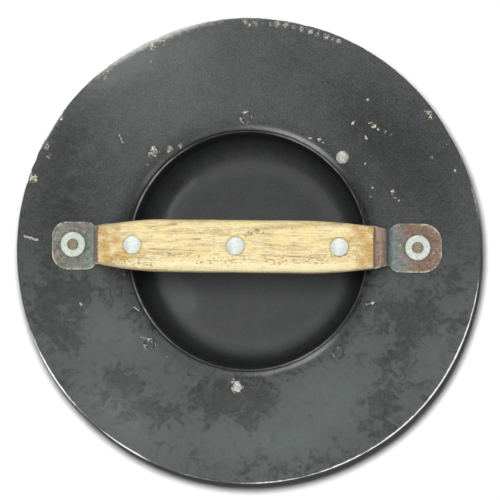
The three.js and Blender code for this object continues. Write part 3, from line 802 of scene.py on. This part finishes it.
def boss_finish():
    """The boss's black, smoother and darker than the plate's, with a painted highlight along its
    bend.
    """
    finish, tree, shader, place, colour, rough, height = blackened_steel(
        "blackened boss", (0.008, 0.0082, 0.0085, 1), (0.076, 0.08, 0.079, 1), 3.7, 0.16
    )
    broken = faded(tree, noisy(tree, place, 150.0, 4.0, 0.6), 0.3, 0.6, 0.4, 1.0)
    # Painted highlight along the bend's edge.
    bend_highlight = scaled(tree, marked(tree, "bend_highlight"), broken)
    colour = mixed(tree, bend_highlight, colour, (0.75, 0.74, 0.7, 1))
    shader.inputs["Metallic"].default_value = 0.2
    finished(tree, shader, colour, added(tree, rough, -0.03), height, 0.3, 0.0001)
    return finish


placed(boss, "boss", boss_finish())

# Rivets of the boss. Six steel rivets set by hand round the opening, their back ends hammered
# almost flat. They were blackened with the plate, and since then worn bare to different degrees.
SHANK_RADIUS = 2.3

# The radius and height of the rivets' heads, and how bare each rivet is, at its middle and round
# its edge.
BACK_HEAD = (4.1, 1.1)
FRONT_HEAD = (3.5, 2.2)
HEAD_STEPS = 12
RIVET_WEAR = [(1.0, 1.0), (0.25, 0.6), (0.62, 0.5), (0.35, 0.55), (0.95, 0.62), (0.06, 0.42)]


def flattened_head(radius, height, seat):
    """A rivet's back head hammered low, from its edge to its middle."""
    points = []
    for i in range(HEAD_STEPS + 1):
        out = 1 - math.sin(i / HEAD_STEPS * up)
        points.append((radius * out, seat + height * (1 - out ** 2.4)))
    return points


def domed_head(radius, height):
    """A rivet's plain round front head, from its middle to its edge. Its top is at height 0."""
    sphere = (radius ** 2 + height ** 2) / (2 * height)
    spread = math.asin(min(1, radius / sphere))
    points = []
    for i in range(HEAD_STEPS + 1):
        angle = spread * i / HEAD_STEPS
        points.append((sphere * math.sin(angle), sphere - sphere * math.cos(angle)))
    return points


def hammered(seed, uneven, flat=0.0):
    """A rivet's heads are out of round by a little, with the dents of the hammer."""
    def by_hand(x, y, z, radius, angle):
        direction = Vector((math.cos(angle), math.sin(angle), 0))
        out = 1 + uneven * noise.noise(direction * 1.4 + Vector((0, 0, seed)))
        dent = flat * noise.noise(Vector((x / 1.6, y / 1.6, seed * 3.1)))
        return x * out, y * out, z + dent
    return by_hand


def middle_of(node):
    """The middle of a node's box."""
    low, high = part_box(node)
    return (low + high) / 2


def seated(piece, node, finish):
    """Stands a piece on the lower end of its node's box."""
    piece.location = (*middle_of(node).xy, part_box(node)[0].z)
    placed(piece, node, finish)


def rivet_in(node, finish, shank, front, back, steps, worked, undercut=0.0):
    """A rivet in its node's place. front and back are its heads' radius and height."""
    low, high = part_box(node)
    back_seat = (high.z - low.z) / MM - back[1]
    profile = [
        *domed_head(*front), (shank, front[1]), (shank, back_seat - undercut),
        *flattened_head(*back, back_seat),
    ]
    seated(turned("buckler_" + node, profile, steps, worked), node, finish)


def rivet_finish(number, middle_bare, edge_bare):
    """A blackened rivet head, worn bare by so much at its middle and round its edge."""
    finish, tree, shader, place, colour, rough, height = blackened_steel(
        f"blackened rivet {number}", (0.012, 0.0125, 0.0125, 1), (0.109, 0.115, 0.113, 1),
        1.3 * number, 0.38,
    )
    out = put(tree, "VectorMath", {0: place, 1: (1, 1, 0)}, operation="MULTIPLY").outputs[0]
    out = put(tree, "VectorMath", {0: out}, operation="LENGTH").outputs[1]
    wear = scaled(tree, faded(tree, out, 0.0022, 0.0036), edge_bare - middle_bare)
    wear = added(tree, middle_bare, wear)
    bare, fringe = grouped(tree, FLAKED, place, Nearness=wear, Flakes_Per_Metre=480)
    rings = faded(tree, noisy(tree, place, 1100.0, 3.0, 0.7), 0.35, 0.65)
    bare_metal = mixed(tree, rings, (0.3, 0.3, 0.26, 1), (0.62, 0.63, 0.57, 1))
    colour = mixed(tree, fringe, colour, (0.2, 0.19, 0.16, 1))
    colour = mixed(tree, bare, colour, bare_metal)
    tree.links.new(added(tree, 0.2, scaled(tree, bare, 0.3)), shader.inputs["Metallic"])
    finished(tree, shader, colour, rough, height, 0.4, 0.0001)
    return finish


for number, (middle_bare, edge_bare) in enumerate(RIVET_WEAR, start=1):
    rivet_in(
        f"boss_rivet_{number}", rivet_finish(number, middle_bare, edge_bare),
        SHANK_RADIUS, FRONT_HEAD, BACK_HEAD, 48, hammered(number * 2.7, 0.035, 0.05),
    )

# Handle strap. One bar of forged steel, bent twice at each end, with a broad tab beyond the
# bends. It is blue-grey from the forge beside the bends and lightly rusted elsewhere, and its
# edges are worn pale. Everything on the handle is measured from the middle of the strap's foot.
strap_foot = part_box("handle_strap")[0].z
STRAP_THICKNESS = 3
STRAP_RISE = 28
WALL_X = (-96.3, 93.5)
TAB_END_X = (-126.9, 128.7)
STRAP_WIDTH = 27.6
TOP_BEND = 2
FOOT_BEND = 5
NECK_WIDTH = 23.4
TAB_WIDTH = 32.8
TAB_INNER_CORNER = 8.5
TAB_FLARE = math.radians(30)
TAB_CORNERS = {-1: (9.5, 10.5), 1: (12.5, 12.5)}
TAB_TRIMS = {-1: (1.5, 0), 1: (0.8, 0.3)}
TAB_END_STEPS = 16
STRAP_SOFTENED = 0.5
STRAP_EDGE_WORN = 0.8
WASHER_RING_RADIUS = 8.7
RING_WIDTH = 0.6


left_rivet, right_rivet = middle_of("tab_rivet_left"), middle_of("tab_rivet_right")
handle_run = right_rivet - left_rivet
handle_middle = (left_rivet + right_rivet) / 2
handle_turn = math.atan2(handle_run.y, handle_run.x)
handle_place = Matrix.Translation((handle_middle.x, handle_middle.y, strap_foot))
handle_place = handle_place @ Matrix.Rotation(handle_turn, 4, "Z")


def strap_half_width(along, side, edge_side):
    """Half the strap's width at a distance from its middle, at its upper or lower edge."""
    wall, end = abs(WALL_X[side > 0]), abs(TAB_END_X[side > 0])
    half, neck = TAB_WIDTH / 2 - TAB_TRIMS[side][edge_side < 0], NECK_WIDTH / 2
    narrows = wall - FOOT_BEND - STRAP_THICKNESS
    corner = TAB_CORNERS[side][edge_side < 0]
    if along <= narrows:
        return STRAP_WIDTH / 2
    if along <= wall:
        return STRAP_WIDTH / 2 + (neck - STRAP_WIDTH / 2) * (along - narrows) / (wall - narrows)
    flare_x = wall + TAB_INNER_CORNER
    flare_start = flare_x - TAB_INNER_CORNER * math.cos(TAB_FLARE)
    flare_y = half - TAB_INNER_CORNER
    if along < flare_start:
        low = flare_y + TAB_INNER_CORNER * math.sin(TAB_FLARE)
        return neck + (low - neck) * (along - wall) / (flare_start - wall)
    if along < flare_x:
        return flare_y + math.sqrt(max(0, TAB_INNER_CORNER ** 2 - (flare_x - along) ** 2))
    if along > end - corner:
        return half - corner + math.sqrt(max(0, corner ** 2 - (along - end + corner) ** 2))
    return half


def strap_end(side):
    """Pairs of (upper, lower) points along one end of the strap, from its top to its tab's end."""
    wall, end = abs(WALL_X[side > 0]), abs(TAB_END_X[side > 0])
    outer = TOP_BEND + STRAP_THICKNESS
    foot_x, foot_z = wall + FOOT_BEND, STRAP_THICKNESS + FOOT_BEND
    corner = max(TAB_CORNERS[side])
    flat_end = end - corner
    upper_and_lower = []
    for depth in (0, STRAP_THICKNESS):
        points = arc(wall - outer, STRAP_RISE - outer, outer - depth, up, 0, 10)
        points += line(points[-1], (wall - depth, foot_z), 14)
        points += arc(foot_x, foot_z, FOOT_BEND + depth, math.pi, 3 * up, 12)
        points += line(points[-1], (flat_end, STRAP_THICKNESS - depth), 16)
        for i in range(TAB_END_STEPS + 1):
            x = flat_end + corner * math.sin(i / TAB_END_STEPS * up)
            points.append((x, STRAP_THICKNESS - depth))
        upper_and_lower.append([(side * x, z) for x, z in points])
    return list(zip(*upper_and_lower))


def strap_stations():
    """Pairs of (upper, lower) points from one end of the strap to the other."""
    left, right = strap_end(-1), strap_end(1)
    top = list(zip(line(left[0][0], right[0][0], 90), line(left[0][1], right[0][1], 90)))
    return [*reversed(left), *top, *right]


# Where the strap's points stand across it, from one edge to the other, closest at its edges.
STRAP_EDGE_COLUMNS = [0.86, 0.92, 0.96, 0.985, 1]
STRAP_COLUMNS = [-column for column in reversed(STRAP_EDGE_COLUMNS)]
STRAP_COLUMNS += [i / 10 for i in range(-8, 9)] + STRAP_EDGE_COLUMNS


def strap_mesh():
    """The strap's upper and lower faces, its edges and its two ends, a little uneven."""
    points, faces = [], []
    stations = strap_stations()
    columns = len(STRAP_COLUMNS)
    for upper, lower in stations:
        for x, z in (upper, lower):
            side = 1 if x > 0 else -1
            for column in STRAP_COLUMNS:
                y = column * strap_half_width(abs(x), side, column)
                rise = 0.09 * noise.noise(Vector((x / 7, y / 7, 2.5))) if z > 0 else 0
                out = 0.12 * noise.noise(Vector((x / 9, 4.4 * column, 6.1)))
                points.append((x, y + out * column, z + rise))
    row = 2 * columns
    for i in range(len(stations) - 1):
        here, there = i * row, (i + 1) * row
        for j in range(columns - 1):
            faces.append((here + j, there + j, there + j + 1, here + j + 1))
            below, ahead = here + columns, there + columns
            faces.append((below + j, below + j + 1, ahead + j + 1, ahead + j))
        faces.append((here, here + columns, there + columns, there))
        last = columns - 1
        faces.append((here + last, there + last, there + columns + last, here + columns + last))
    for start, turned_round in ((0, False), ((len(stations) - 1) * row, True)):
        for j in range(columns - 1):
            face = (start + j, start + j + 1, start + columns + j + 1, start + columns + j)
            faces.append(tuple(reversed(face)) if turned_round else face)
    return points, faces


def softened(piece, width, segments=2, angle=50):
    """Rounds a piece's sharp edges by a width in millimetres."""
    shape = bmesh.new()
    shape.from_mesh(piece.data)
    sharp = [
        e for e in shape.edges
        if len(e.link_faces) == 2 and e.calc_face_angle() > math.radians(angle)
    ]
    bmesh.ops.bevel(
        shape, geom=sharp, offset=width * MM, offset_type="OFFSET", segments=segments,
        profile=0.5, affect="EDGES", clamp_overlap=True,
    )
    shape.to_mesh(piece.data)
    shape.free()
    piece.data.shade_smooth()
    piece.data.set_sharp_from_angle(angle=math.radians(60))


strap = piece_from("buckler_handle_strap", *strap_mesh())
softened(strap, STRAP_SOFTENED)
strap.matrix_world = handle_place
strap_places = own_places(strap) / MM
strap_edge = numpy.zeros(len(strap_places))
for i, (x, y, z) in enumerate(strap_places.tolist()):
    side = 1 if x > 0 else -1
    to_end = abs(TAB_END_X[side > 0]) - abs(x)
    corner = TAB_CORNERS[side][y < 0]
    to_side = TAB_WIDTH / 2 - TAB_TRIMS[side][y < 0] - abs(y)
    if to_end < corner:
        to_edge = corner - math.hypot(corner - to_end, max(0, corner - to_side))
    else:
        to_edge = strap_half_width(abs(x), side, y) - abs(y)
    worn_more = 1 if to_end < corner or y < 0 else 0.45
    strap_edge[i] = worn_more * math.exp(-((to_edge / STRAP_EDGE_WORN) ** 2))
mark(strap, "edge_wear", strap_edge)
strap_x, strap_y = strap_places[:, 0], strap_places[:, 1]
on_right = strap_x > 0
beyond_wall = numpy.where(on_right, strap_x - WALL_X[1], WALL_X[0] - strap_x)
at_foot = beyond_wall > -0.2
aslant = beyond_wall + strap_y * 0.2
mark(strap, "forge_blue", at_foot * numpy.clip(1.15 - aslant / 13, 0, 1))
tab_rust = numpy.where(on_right, 0.06 + 0.028 * numpy.clip(aslant, 0, 16), 0.18)
mark(strap, "rust", numpy.where(beyond_wall < 0.4, 0.75, tab_rust))
mark(strap, "on_top", (beyond_wall < 0.4) * numpy.where(on_right, 1.0, 0.6))
# Painted shade on the strap in a ring round each washer.
washer_ring = numpy.zeros(len(strap_places))
for side in ("left", "right"):
    washer_place = handle_place.inverted() @ middle_of(f"washer_{side}") / MM
    from_washer = numpy.hypot(strap_x - washer_place.x, strap_y - washer_place.y)
    washer_ring += numpy.exp(-(((from_washer - WASHER_RING_RADIUS) / RING_WIDTH) ** 2))
mark(strap, "washer_ring", washer_ring)


def strap_finish():
    """Forged steel: blue-grey scale, thin brown rust in blotches, pale worn edges, painted shade by
    washers.
    """
    finish, tree, shader, place = new_finish("forged steel strap")
    _, patches, grain = grouped(tree, UNEVEN, place, Patches_Per_Metre=130, Seed=5.2)
    blotch = noisy(tree, place, 190.0, 6.0, 0.7)
    other = noisy(tree, place, 165.0, 5.0, 0.65, 0.8)
    scale = mixed(tree, patches, (0.105, 0.115, 0.11, 1), (0.205, 0.21, 0.18, 1))
    scale = mixed(tree, faded(tree, other, 0.53, 0.6, 0.0, 0.85), scale, (0.265, 0.2, 0.205, 1))
    scale = mixed(tree, faded(tree, other, 0.47, 0.4, 0.0, 0.85), scale, (0.21, 0.195, 0.11, 1))
    rust = mixed(tree, grain, (0.135, 0.08, 0.06, 1), (0.25, 0.165, 0.12, 1))
    drawn = faded(tree, drawn_out(tree, place, (650, 60, 200), 3.0), 0.36, 0.62)
    pinkish = scaled(tree, drawn, marked(tree, "on_top"))
    rust = mixed(tree, pinkish, rust, (0.31, 0.22, 0.175, 1))
    blue_mark = marked(tree, "forge_blue")
    rusted = added(tree, marked(tree, "rust"), blotch, scaled(tree, blue_mark, -0.35))
    colour = mixed(tree, faded(tree, rusted, 0.66, 1.0), scale, rust)
    blue = added(tree, scaled(tree, blue_mark, 1.1), scaled(tree, blotch, 0.8))
    blue = faded(tree, blue, 0.85, 1.25, 0.0, 0.85)
    colour = mixed(tree, blue, colour, (0.175, 0.215, 0.205, 1))
    sparks = noisy(tree, place, 470.0, 3.0, 0.65)
    pale_sparks = faded(tree, sparks, 0.56, 0.7, 0.0, 0.55)
    colour = mixed(tree, pale_sparks, colour, (0.42, 0.41, 0.35, 1))
    dark_sparks = faded(tree, sparks, 0.46, 0.32, 0.0, 0.75)
    colour = mixed(tree, dark_sparks, colour, (0.06, 0.055, 0.05, 1))
    yellow = faded(tree, blotch, 0.62, 0.7, 0.0, 0.7)
    colour = mixed(tree, yellow, colour, (0.36, 0.31, 0.18, 1))
    # Painted shade round the washers.
    ring = scaled(tree, marked(tree, "washer_ring"), 0.55)
    colour = mixed(tree, ring, colour, (0.05, 0.05, 0.045, 1))
    worn = scaled(tree, marked(tree, "edge_wear"), faded(tree, blotch, 0.44, 0.56, 0.1, 1.0))
    colour = mixed(tree, worn, colour, (0.54, 0.53, 0.41, 1))
    rough = added(tree, 0.42, scaled(tree, patches, 0.18))
    shader.inputs["Metallic"].default_value = 0.3
    finished(tree, shader, colour, rough, added(tree, grain, patches), 0.5, 0.00015)
    return finish


placed(strap, "handle_strap", strap_finish())

# Washers and rivets of the tabs. A zinc-grey washer lies on each tab. The rivet through it is
# peened down inside the washer's hole and has rusted a little; its head is at the front.
WASHER_RADIUS = 8.2
WASHER_THICKNESS = 1.5
WASHER_HOLE = 3.7
WASHER_ROUND = 0.5
WASHER_HOLE_ROUND = 0.4
TAB_SHANK = 3.2
TAB_PEEN = (3.6, 0.4)
TAB_HEAD = (7, 4.6)
UNDERCUT = 0.3


def worn_metal(name, base, spots, spot_share, rough, rate, metallic):
    """Plain worn metal with fine scratches, dull spots and a soft grain."""
    finish, tree, shader, place = new_finish(name)
    _, patches, grain = grouped(tree, UNEVEN, place, Patches_Per_Metre=rate, Seed=2.1)
    colour = mixed(tree, scaled(tree, patches, spot_share), base, spots)
    lines = drawn_out(tree, place, (260, 2600, 500), 2.0, turn=0.5)
    colour = mixed(tree, faded(tree, lines, 0.62, 0.75, 0.0, 0.35), colour, spots)
    rough = added(tree, rough, scaled(tree, grain, 0.12))
    shader.inputs["Metallic"].default_value = metallic
    finished(tree, shader, colour, rough, added(tree, grain, lines), 0.35, 0.00008)
    return finish


zinc = worn_metal(
    "dull zinc", (0.68, 0.73, 0.67, 1), (0.4, 0.44, 0.38, 1), 0.8, 0.42, 620.0, 0.5
)
rusty = worn_metal(
    "rusty rivet end", (0.3, 0.265, 0.185, 1), (0.11, 0.08, 0.045, 1), 0.85, 0.5, 620.0, 0.3
)

outer_edge, inner_edge = WASHER_RADIUS - WASHER_ROUND, WASHER_HOLE + WASHER_HOLE_ROUND
washer_profile = [
    (WASHER_HOLE, 0), (WASHER_RADIUS, 0), *line((WASHER_RADIUS, 0), (WASHER_RADIUS, 0.9), 3),
    *arc(outer_edge, WASHER_THICKNESS - WASHER_ROUND, WASHER_ROUND, 0, up, 5),
    *line((outer_edge, WASHER_THICKNESS), (inner_edge, WASHER_THICKNESS), 8),
    *arc(inner_edge, WASHER_THICKNESS - WASHER_HOLE_ROUND, WASHER_HOLE_ROUND, up, 2 * up, 4),
]
for side, seed in (("left", 1.9), ("right", 4.3)):
    washer = turned(f"buckler_washer_{side}", washer_profile, 96, hammered(seed, 0.012, 0.03))
    seated(washer, f"washer_{side}", zinc)
    rivet_in(
        f"tab_rivet_{side}", rusty, TAB_SHANK, TAB_HEAD, TAB_PEEN, 64,
        hammered(seed + 1, 0.03, 0.09), undercut=UNDERCUT,
    )

# Grip. One scale of pale golden wood, riveted to the outer face of the strap. Its long edges are
# rounded, its ends taper and slope down, and hands have darkened it at the ends and polished it.
GRIP_MIDDLE_X = -3.1
GRIP_HALF = 89
GRIP_UNDERSIDE = 28.05
GRIP_WIDTH = 34
GRIP_LOWERED = 0.3
GRIP_END_WIDTHS = {-1: 25.0, 1: 27.0}
GRIP_TAPER = 21
GRIP_THICKNESS = 13
GRIP_END_THICKNESS = 8.5
GRIP_END_SLOPE = 14
GRIP_ROUND = 5
GRIP_STATIONS = 280
GRIP_ROUND_STEPS = 8
GRIP_SOFTENED = 0.7
RAGGED_FROM = 0.985
RIVET_RING_RADIUS = 5.9


def grip_half_width(x):
    """Half the grip's width: full in the middle, curving in over twice the taper at the ends."""
    side = 1 if x > 0 else -1
    full, end = GRIP_WIDTH / 2, GRIP_END_WIDTHS[side] / 2
    taper = (abs(x) - (GRIP_HALF - 2 * GRIP_TAPER)) / (2 * GRIP_TAPER)
    return full - (full - end) * max(0, taper) ** 1.7


def grip_top(x):
    """The grip's thickness: it slopes down over its last stretch, with the break rubbed round."""
    into_slope = (abs(x) - GRIP_HALF + GRIP_END_SLOPE) / GRIP_END_SLOPE
    drop = GRIP_THICKNESS - GRIP_END_THICKNESS
    soft = 0.12
    if into_slope <= -soft:
        return GRIP_THICKNESS
    if into_slope < soft:
        return GRIP_THICKNESS - drop * (into_slope + soft) ** 2 / (4 * soft)
    return GRIP_THICKNESS - drop * into_slope


def grip_section(x):
    """The outline across the grip, from its lower left edge over the top to its lower right."""
    half, top = grip_half_width(x), grip_top(x)
    rounding = min(GRIP_ROUND, top - 2.5)
    left = [(-half, 0), *line((-half, 0), (-half, top - rounding), 4)]
    left += arc(-half + rounding, top - rounding, rounding, 2 * up, up, GRIP_ROUND_STEPS)
    right = [(-y, z) for y, z in reversed(left)]
    return [*left, *line(left[-1], right[0], 36), *right]


def grip_mesh():
    """Sections across the grip, closest at its ends, with raised fibres and ragged ends."""
    points = []
    for i in range(GRIP_STATIONS + 1):
        turn = (i / GRIP_STATIONS - 0.5) * math.pi * 0.98
        x = GRIP_HALF * math.sin(turn) / math.sin(math.pi * 0.49)
        end_part = max(0, abs(x) / GRIP_HALF - RAGGED_FROM) / (1 - RAGGED_FROM)
        section = grip_section(x)
        for y, z in section:
            wander = 0.16 * noise.noise(Vector((x / 19, y / 15, z / 15)))
            fibre = 0.05 * noise.noise(Vector((x / 16, y / 0.9, z / 0.9))) if z > 0 else 0
            ragged = end_part * 0.5 * noise.noise(Vector((y / 1.7, z / 3, 9.0 + x)))
            shorter = (0.3 + ragged) * end_part * math.copysign(1, x)
            across = y * (1 + wander / 16) + fibre * (abs(y) / 16)
            lift = wander + fibre - 0.16 if z > 1 else 0
            points.append((GRIP_MIDDLE_X + x - shorter, across - GRIP_LOWERED, z + lift))
    count = len(section)
    faces = rows_joined(points, count, False)
    faces.append(tuple(range(count)))
    faces.append(tuple(reversed(range(len(points) - count, len(points)))))
    return points, faces


grip = piece_from("buckler_grip", *grip_mesh())
softened(grip, GRIP_SOFTENED, segments=3)
grip.matrix_world = handle_place @ Matrix.Translation((0, 0, GRIP_UNDERSIDE * MM))
bpy.context.view_layer.update()

# Marks in the wood, by the photograph's pixels on its upper face. Lines run from and to, with a
# width in millimetres; spots have a radius in millimetres and a strength.
PORE_LINES = [
    (112, 259, 150, 264, 2.6), (160, 254, 200, 256, 1.8), (196, 262, 236, 261, 2.2),
    (236, 259, 262, 260, 1.4), (268, 261, 322, 261, 3.2), (322, 258, 345, 256, 2.0),
]
# Brown streaks in the grain; the two lines along the lower edge from (106, 262) are a painted
# shadow line.
BROWN_LINES = [
    (252, 229, 342, 224, 1.3), (270, 226, 320, 224, 1.0), (148, 227, 176, 224, 1.2),
    (114, 256, 144, 258, 2.2), (106, 262, 138, 269, 1.2), (138, 269, 214, 272, 0.9),
    (150, 249, 210, 251, 0.9), (186, 233, 222, 232, 0.9), (262, 255, 320, 258, 1.0),
    (320, 240, 345, 238, 1.2), (176, 240, 200, 239, 0.8), (290, 246, 312, 247, 0.8),
]
# Painted light along the lower rounded edge.
PALE_LINES = [(120, 264, 365, 265, 3.0), (170, 269, 350, 270, 2.4)]
SCUFFS = [
    (250, 233, 2.2, 0.9), (257, 231, 2.0, 0.85), (246, 236, 1.6, 0.7), (263, 233, 1.2, 0.6),
    (120, 256, 2.0, 0.4), (128, 258, 1.6, 0.4), (103, 240, 1.6, 0.4), (112, 236, 1.4, 0.4),
]
WARM_SPOTS = [
    (102, 232, 4.5, 0.9), (104, 246, 5.0, 1.0), (106, 258, 5.0, 0.9), (116, 240, 6.0, 0.7),
    (122, 255, 6.0, 0.9), (118, 228, 3.0, 0.6), (362, 234, 5.0, 1.0), (368, 248, 6.0, 1.0),
    (356, 228, 4.0, 0.7), (362, 262, 5.0, 0.9), (350, 240, 6.0, 0.6), (140, 250, 6.0, 0.4),
    (372, 230, 4.0, 0.9), (340, 262, 6.0, 0.4), (300, 226, 8.0, 0.35), (370, 256, 6.0, 1.0),
]
GRIP_EDGE_DARK = 0.6
GRIP_RIVETS = [f"grip_rivet_{number}" for number in (1, 2, 3)]
grip_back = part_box("grip")[1].z
grip_places = places_of(grip)
# Painted shade in a ring round each rivet on the wood.
rivet_rings = numpy.zeros(len(grip_places))
for node in GRIP_RIVETS:
    offset = grip_places[:, :2] - numpy.array(middle_of(node).xy)
    from_rivet = numpy.hypot(offset[:, 0], offset[:, 1]) / MM
    rivet_rings += numpy.exp(-(((from_rivet - RIVET_RING_RADIUS) / RING_WIDTH) ** 2))
mark(grip, "rivet_rings", rivet_rings)
mark(grip, "pore_lines", near_lines(grip_places, PORE_LINES, grip_back))
mark(grip, "brown_lines", near_lines(grip_places, BROWN_LINES, grip_back))
mark(grip, "pale", near_lines(grip_places, PALE_LINES, grip_back))
mark(grip, "scuffs", near_spots(grip_places, SCUFFS, grip_back))
mark(grip, "warm", near_spots(grip_places, WARM_SPOTS, grip_back))
# Painted shade along the grip's edges and ends.
grip_edges = []
for x, y, _ in (own_places(grip) / MM).tolist():
    along = x - GRIP_MIDDLE_X
    to_edge = min(grip_half_width(along) - abs(y), (GRIP_HALF - abs(along)) * 0.8)
    grip_edges.append(math.exp(-((max(0, to_edge) / GRIP_EDGE_DARK) ** 2)))
mark(grip, "edges", grip_edges)


def wood_finish():
    """Pale golden wood: fibres, brown streaks and pores, warm brown ends, painted shade and light
    at edges.
    """
    finish, tree, shader, place = new_finish("oiled pale wood")
    fibres = drawn_out(tree, place, (130, 1100, 1100), 3.0, 0.7)
    fibre = faded(tree, fibres, 0.34, 0.64)
    band = faded(tree, drawn_out(tree, place, (22, 330, 330), 5.0, 0.65), 0.36, 0.64)
    cloud = faded(tree, noisy(tree, place, 75.0, 5.0, 0.6), 0.34, 0.66)
    speckle = faded(tree, noisy(tree, place, 820.0, 3.0, 0.7), 0.32, 0.66)
    tone = added(
        tree, -0.06, scaled(tree, fibre, 0.6), scaled(tree, band, 0.34), scaled(tree, cloud, 0.2),
        scaled(tree, speckle, 0.24),
    )
    colour = mixed(tree, tone, (0.42, 0.29, 0.1, 1), (0.79, 0.68, 0.41, 1))
    half_band = scaled(tree, band, 0.5)
    golden = faded(tree, added(tree, cloud, half_band), 0.6, 1.2, 0.0, 0.45)
    colour = mixed(tree, golden, colour, (0.76, 0.6, 0.24, 1))
    # Brown streaks, and a painted shadow line along the lower edge.
    lines = added(tree, marked(tree, "brown_lines"), scaled(tree, fibre, 0.7), half_band)
    lines = faded(tree, lines, 1.15, 2.0, 0.0, 0.9)
    colour = mixed(tree, lines, colour, (0.3, 0.19, 0.075, 1))
    # Painted light along the lower rounded edge.
    colour = mixed(tree, scaled(tree, marked(tree, "pale"), 0.5), colour, (0.93, 0.83, 0.52, 1))
    warmed = added(tree, 0.2, scaled(tree, fibre, 0.6), scaled(tree, speckle, 0.9))
    warm = scaled(tree, marked(tree, "warm"), warmed)
    colour = mixed(tree, faded(tree, warm, 0.2, 1.0, 0.0, 0.9), colour, (0.5, 0.29, 0.08, 1))
    pores = drawn_out(tree, place, (520, 1000, 1000), 3.0, 0.65)
    porous = added(tree, marked(tree, "pore_lines"), scaled(tree, marked(tree, "warm"), 0.55), 0.16)
    pore = added(tree, pores, scaled(tree, porous, 0.115))
    pore = faded(tree, pore, 0.61, 0.74, 0.0, 0.75)
    colour = mixed(tree, pore, colour, (0.27, 0.17, 0.06, 1))
    scuff = scaled(tree, marked(tree, "scuffs"), added(tree, 0.2, speckle))
    colour = mixed(tree, faded(tree, scuff, 0.2, 0.65, 0.0, 0.85), colour, (0.15, 0.14, 0.11, 1))
    # Painted shade along the edges and round the rivets.
    outline = scaled(tree, marked(tree, "edges"), added(tree, 0.25, scaled(tree, speckle, 0.6)))
    outline = worked_out(tree, "MAXIMUM", outline, scaled(tree, marked(tree, "rivet_rings"), 0.6))
    colour = mixed(tree, outline, colour, (0.16, 0.105, 0.05, 1))
    height = added(tree, fibre, band, scaled(tree, pore, -2.0))
    rough = faded(tree, fibres, 0.3, 0.7, 0.66, 0.5)
    finished(tree, shader, colour, rough, height, 0.45, 0.0002)
    return finish


placed(grip, "grip", wood_finish())

# Rivets of the grip. Three bright steel rivets go through the wood and the strap. Their back
# ends are low round heads on the wood, rubbed smooth by the hand.
GRIP_HEAD = (5.6, 1.6)
GRIP_FRONT_HEAD = (4.5, 2)
GRIP_SHANK = 2.5

bright = worn_metal(
    "bright rubbed steel", (0.74, 0.79, 0.75, 1), (0.5, 0.55, 0.51, 1), 0.7, 0.45, 520.0, 0.3
)
for number, node in enumerate(GRIP_RIVETS, start=1):
    rivet_in(
        node, bright, GRIP_SHANK, GRIP_FRONT_HEAD, GRIP_HEAD, 72,
        hammered(number * 1.7, 0.02, 0.03),
    )
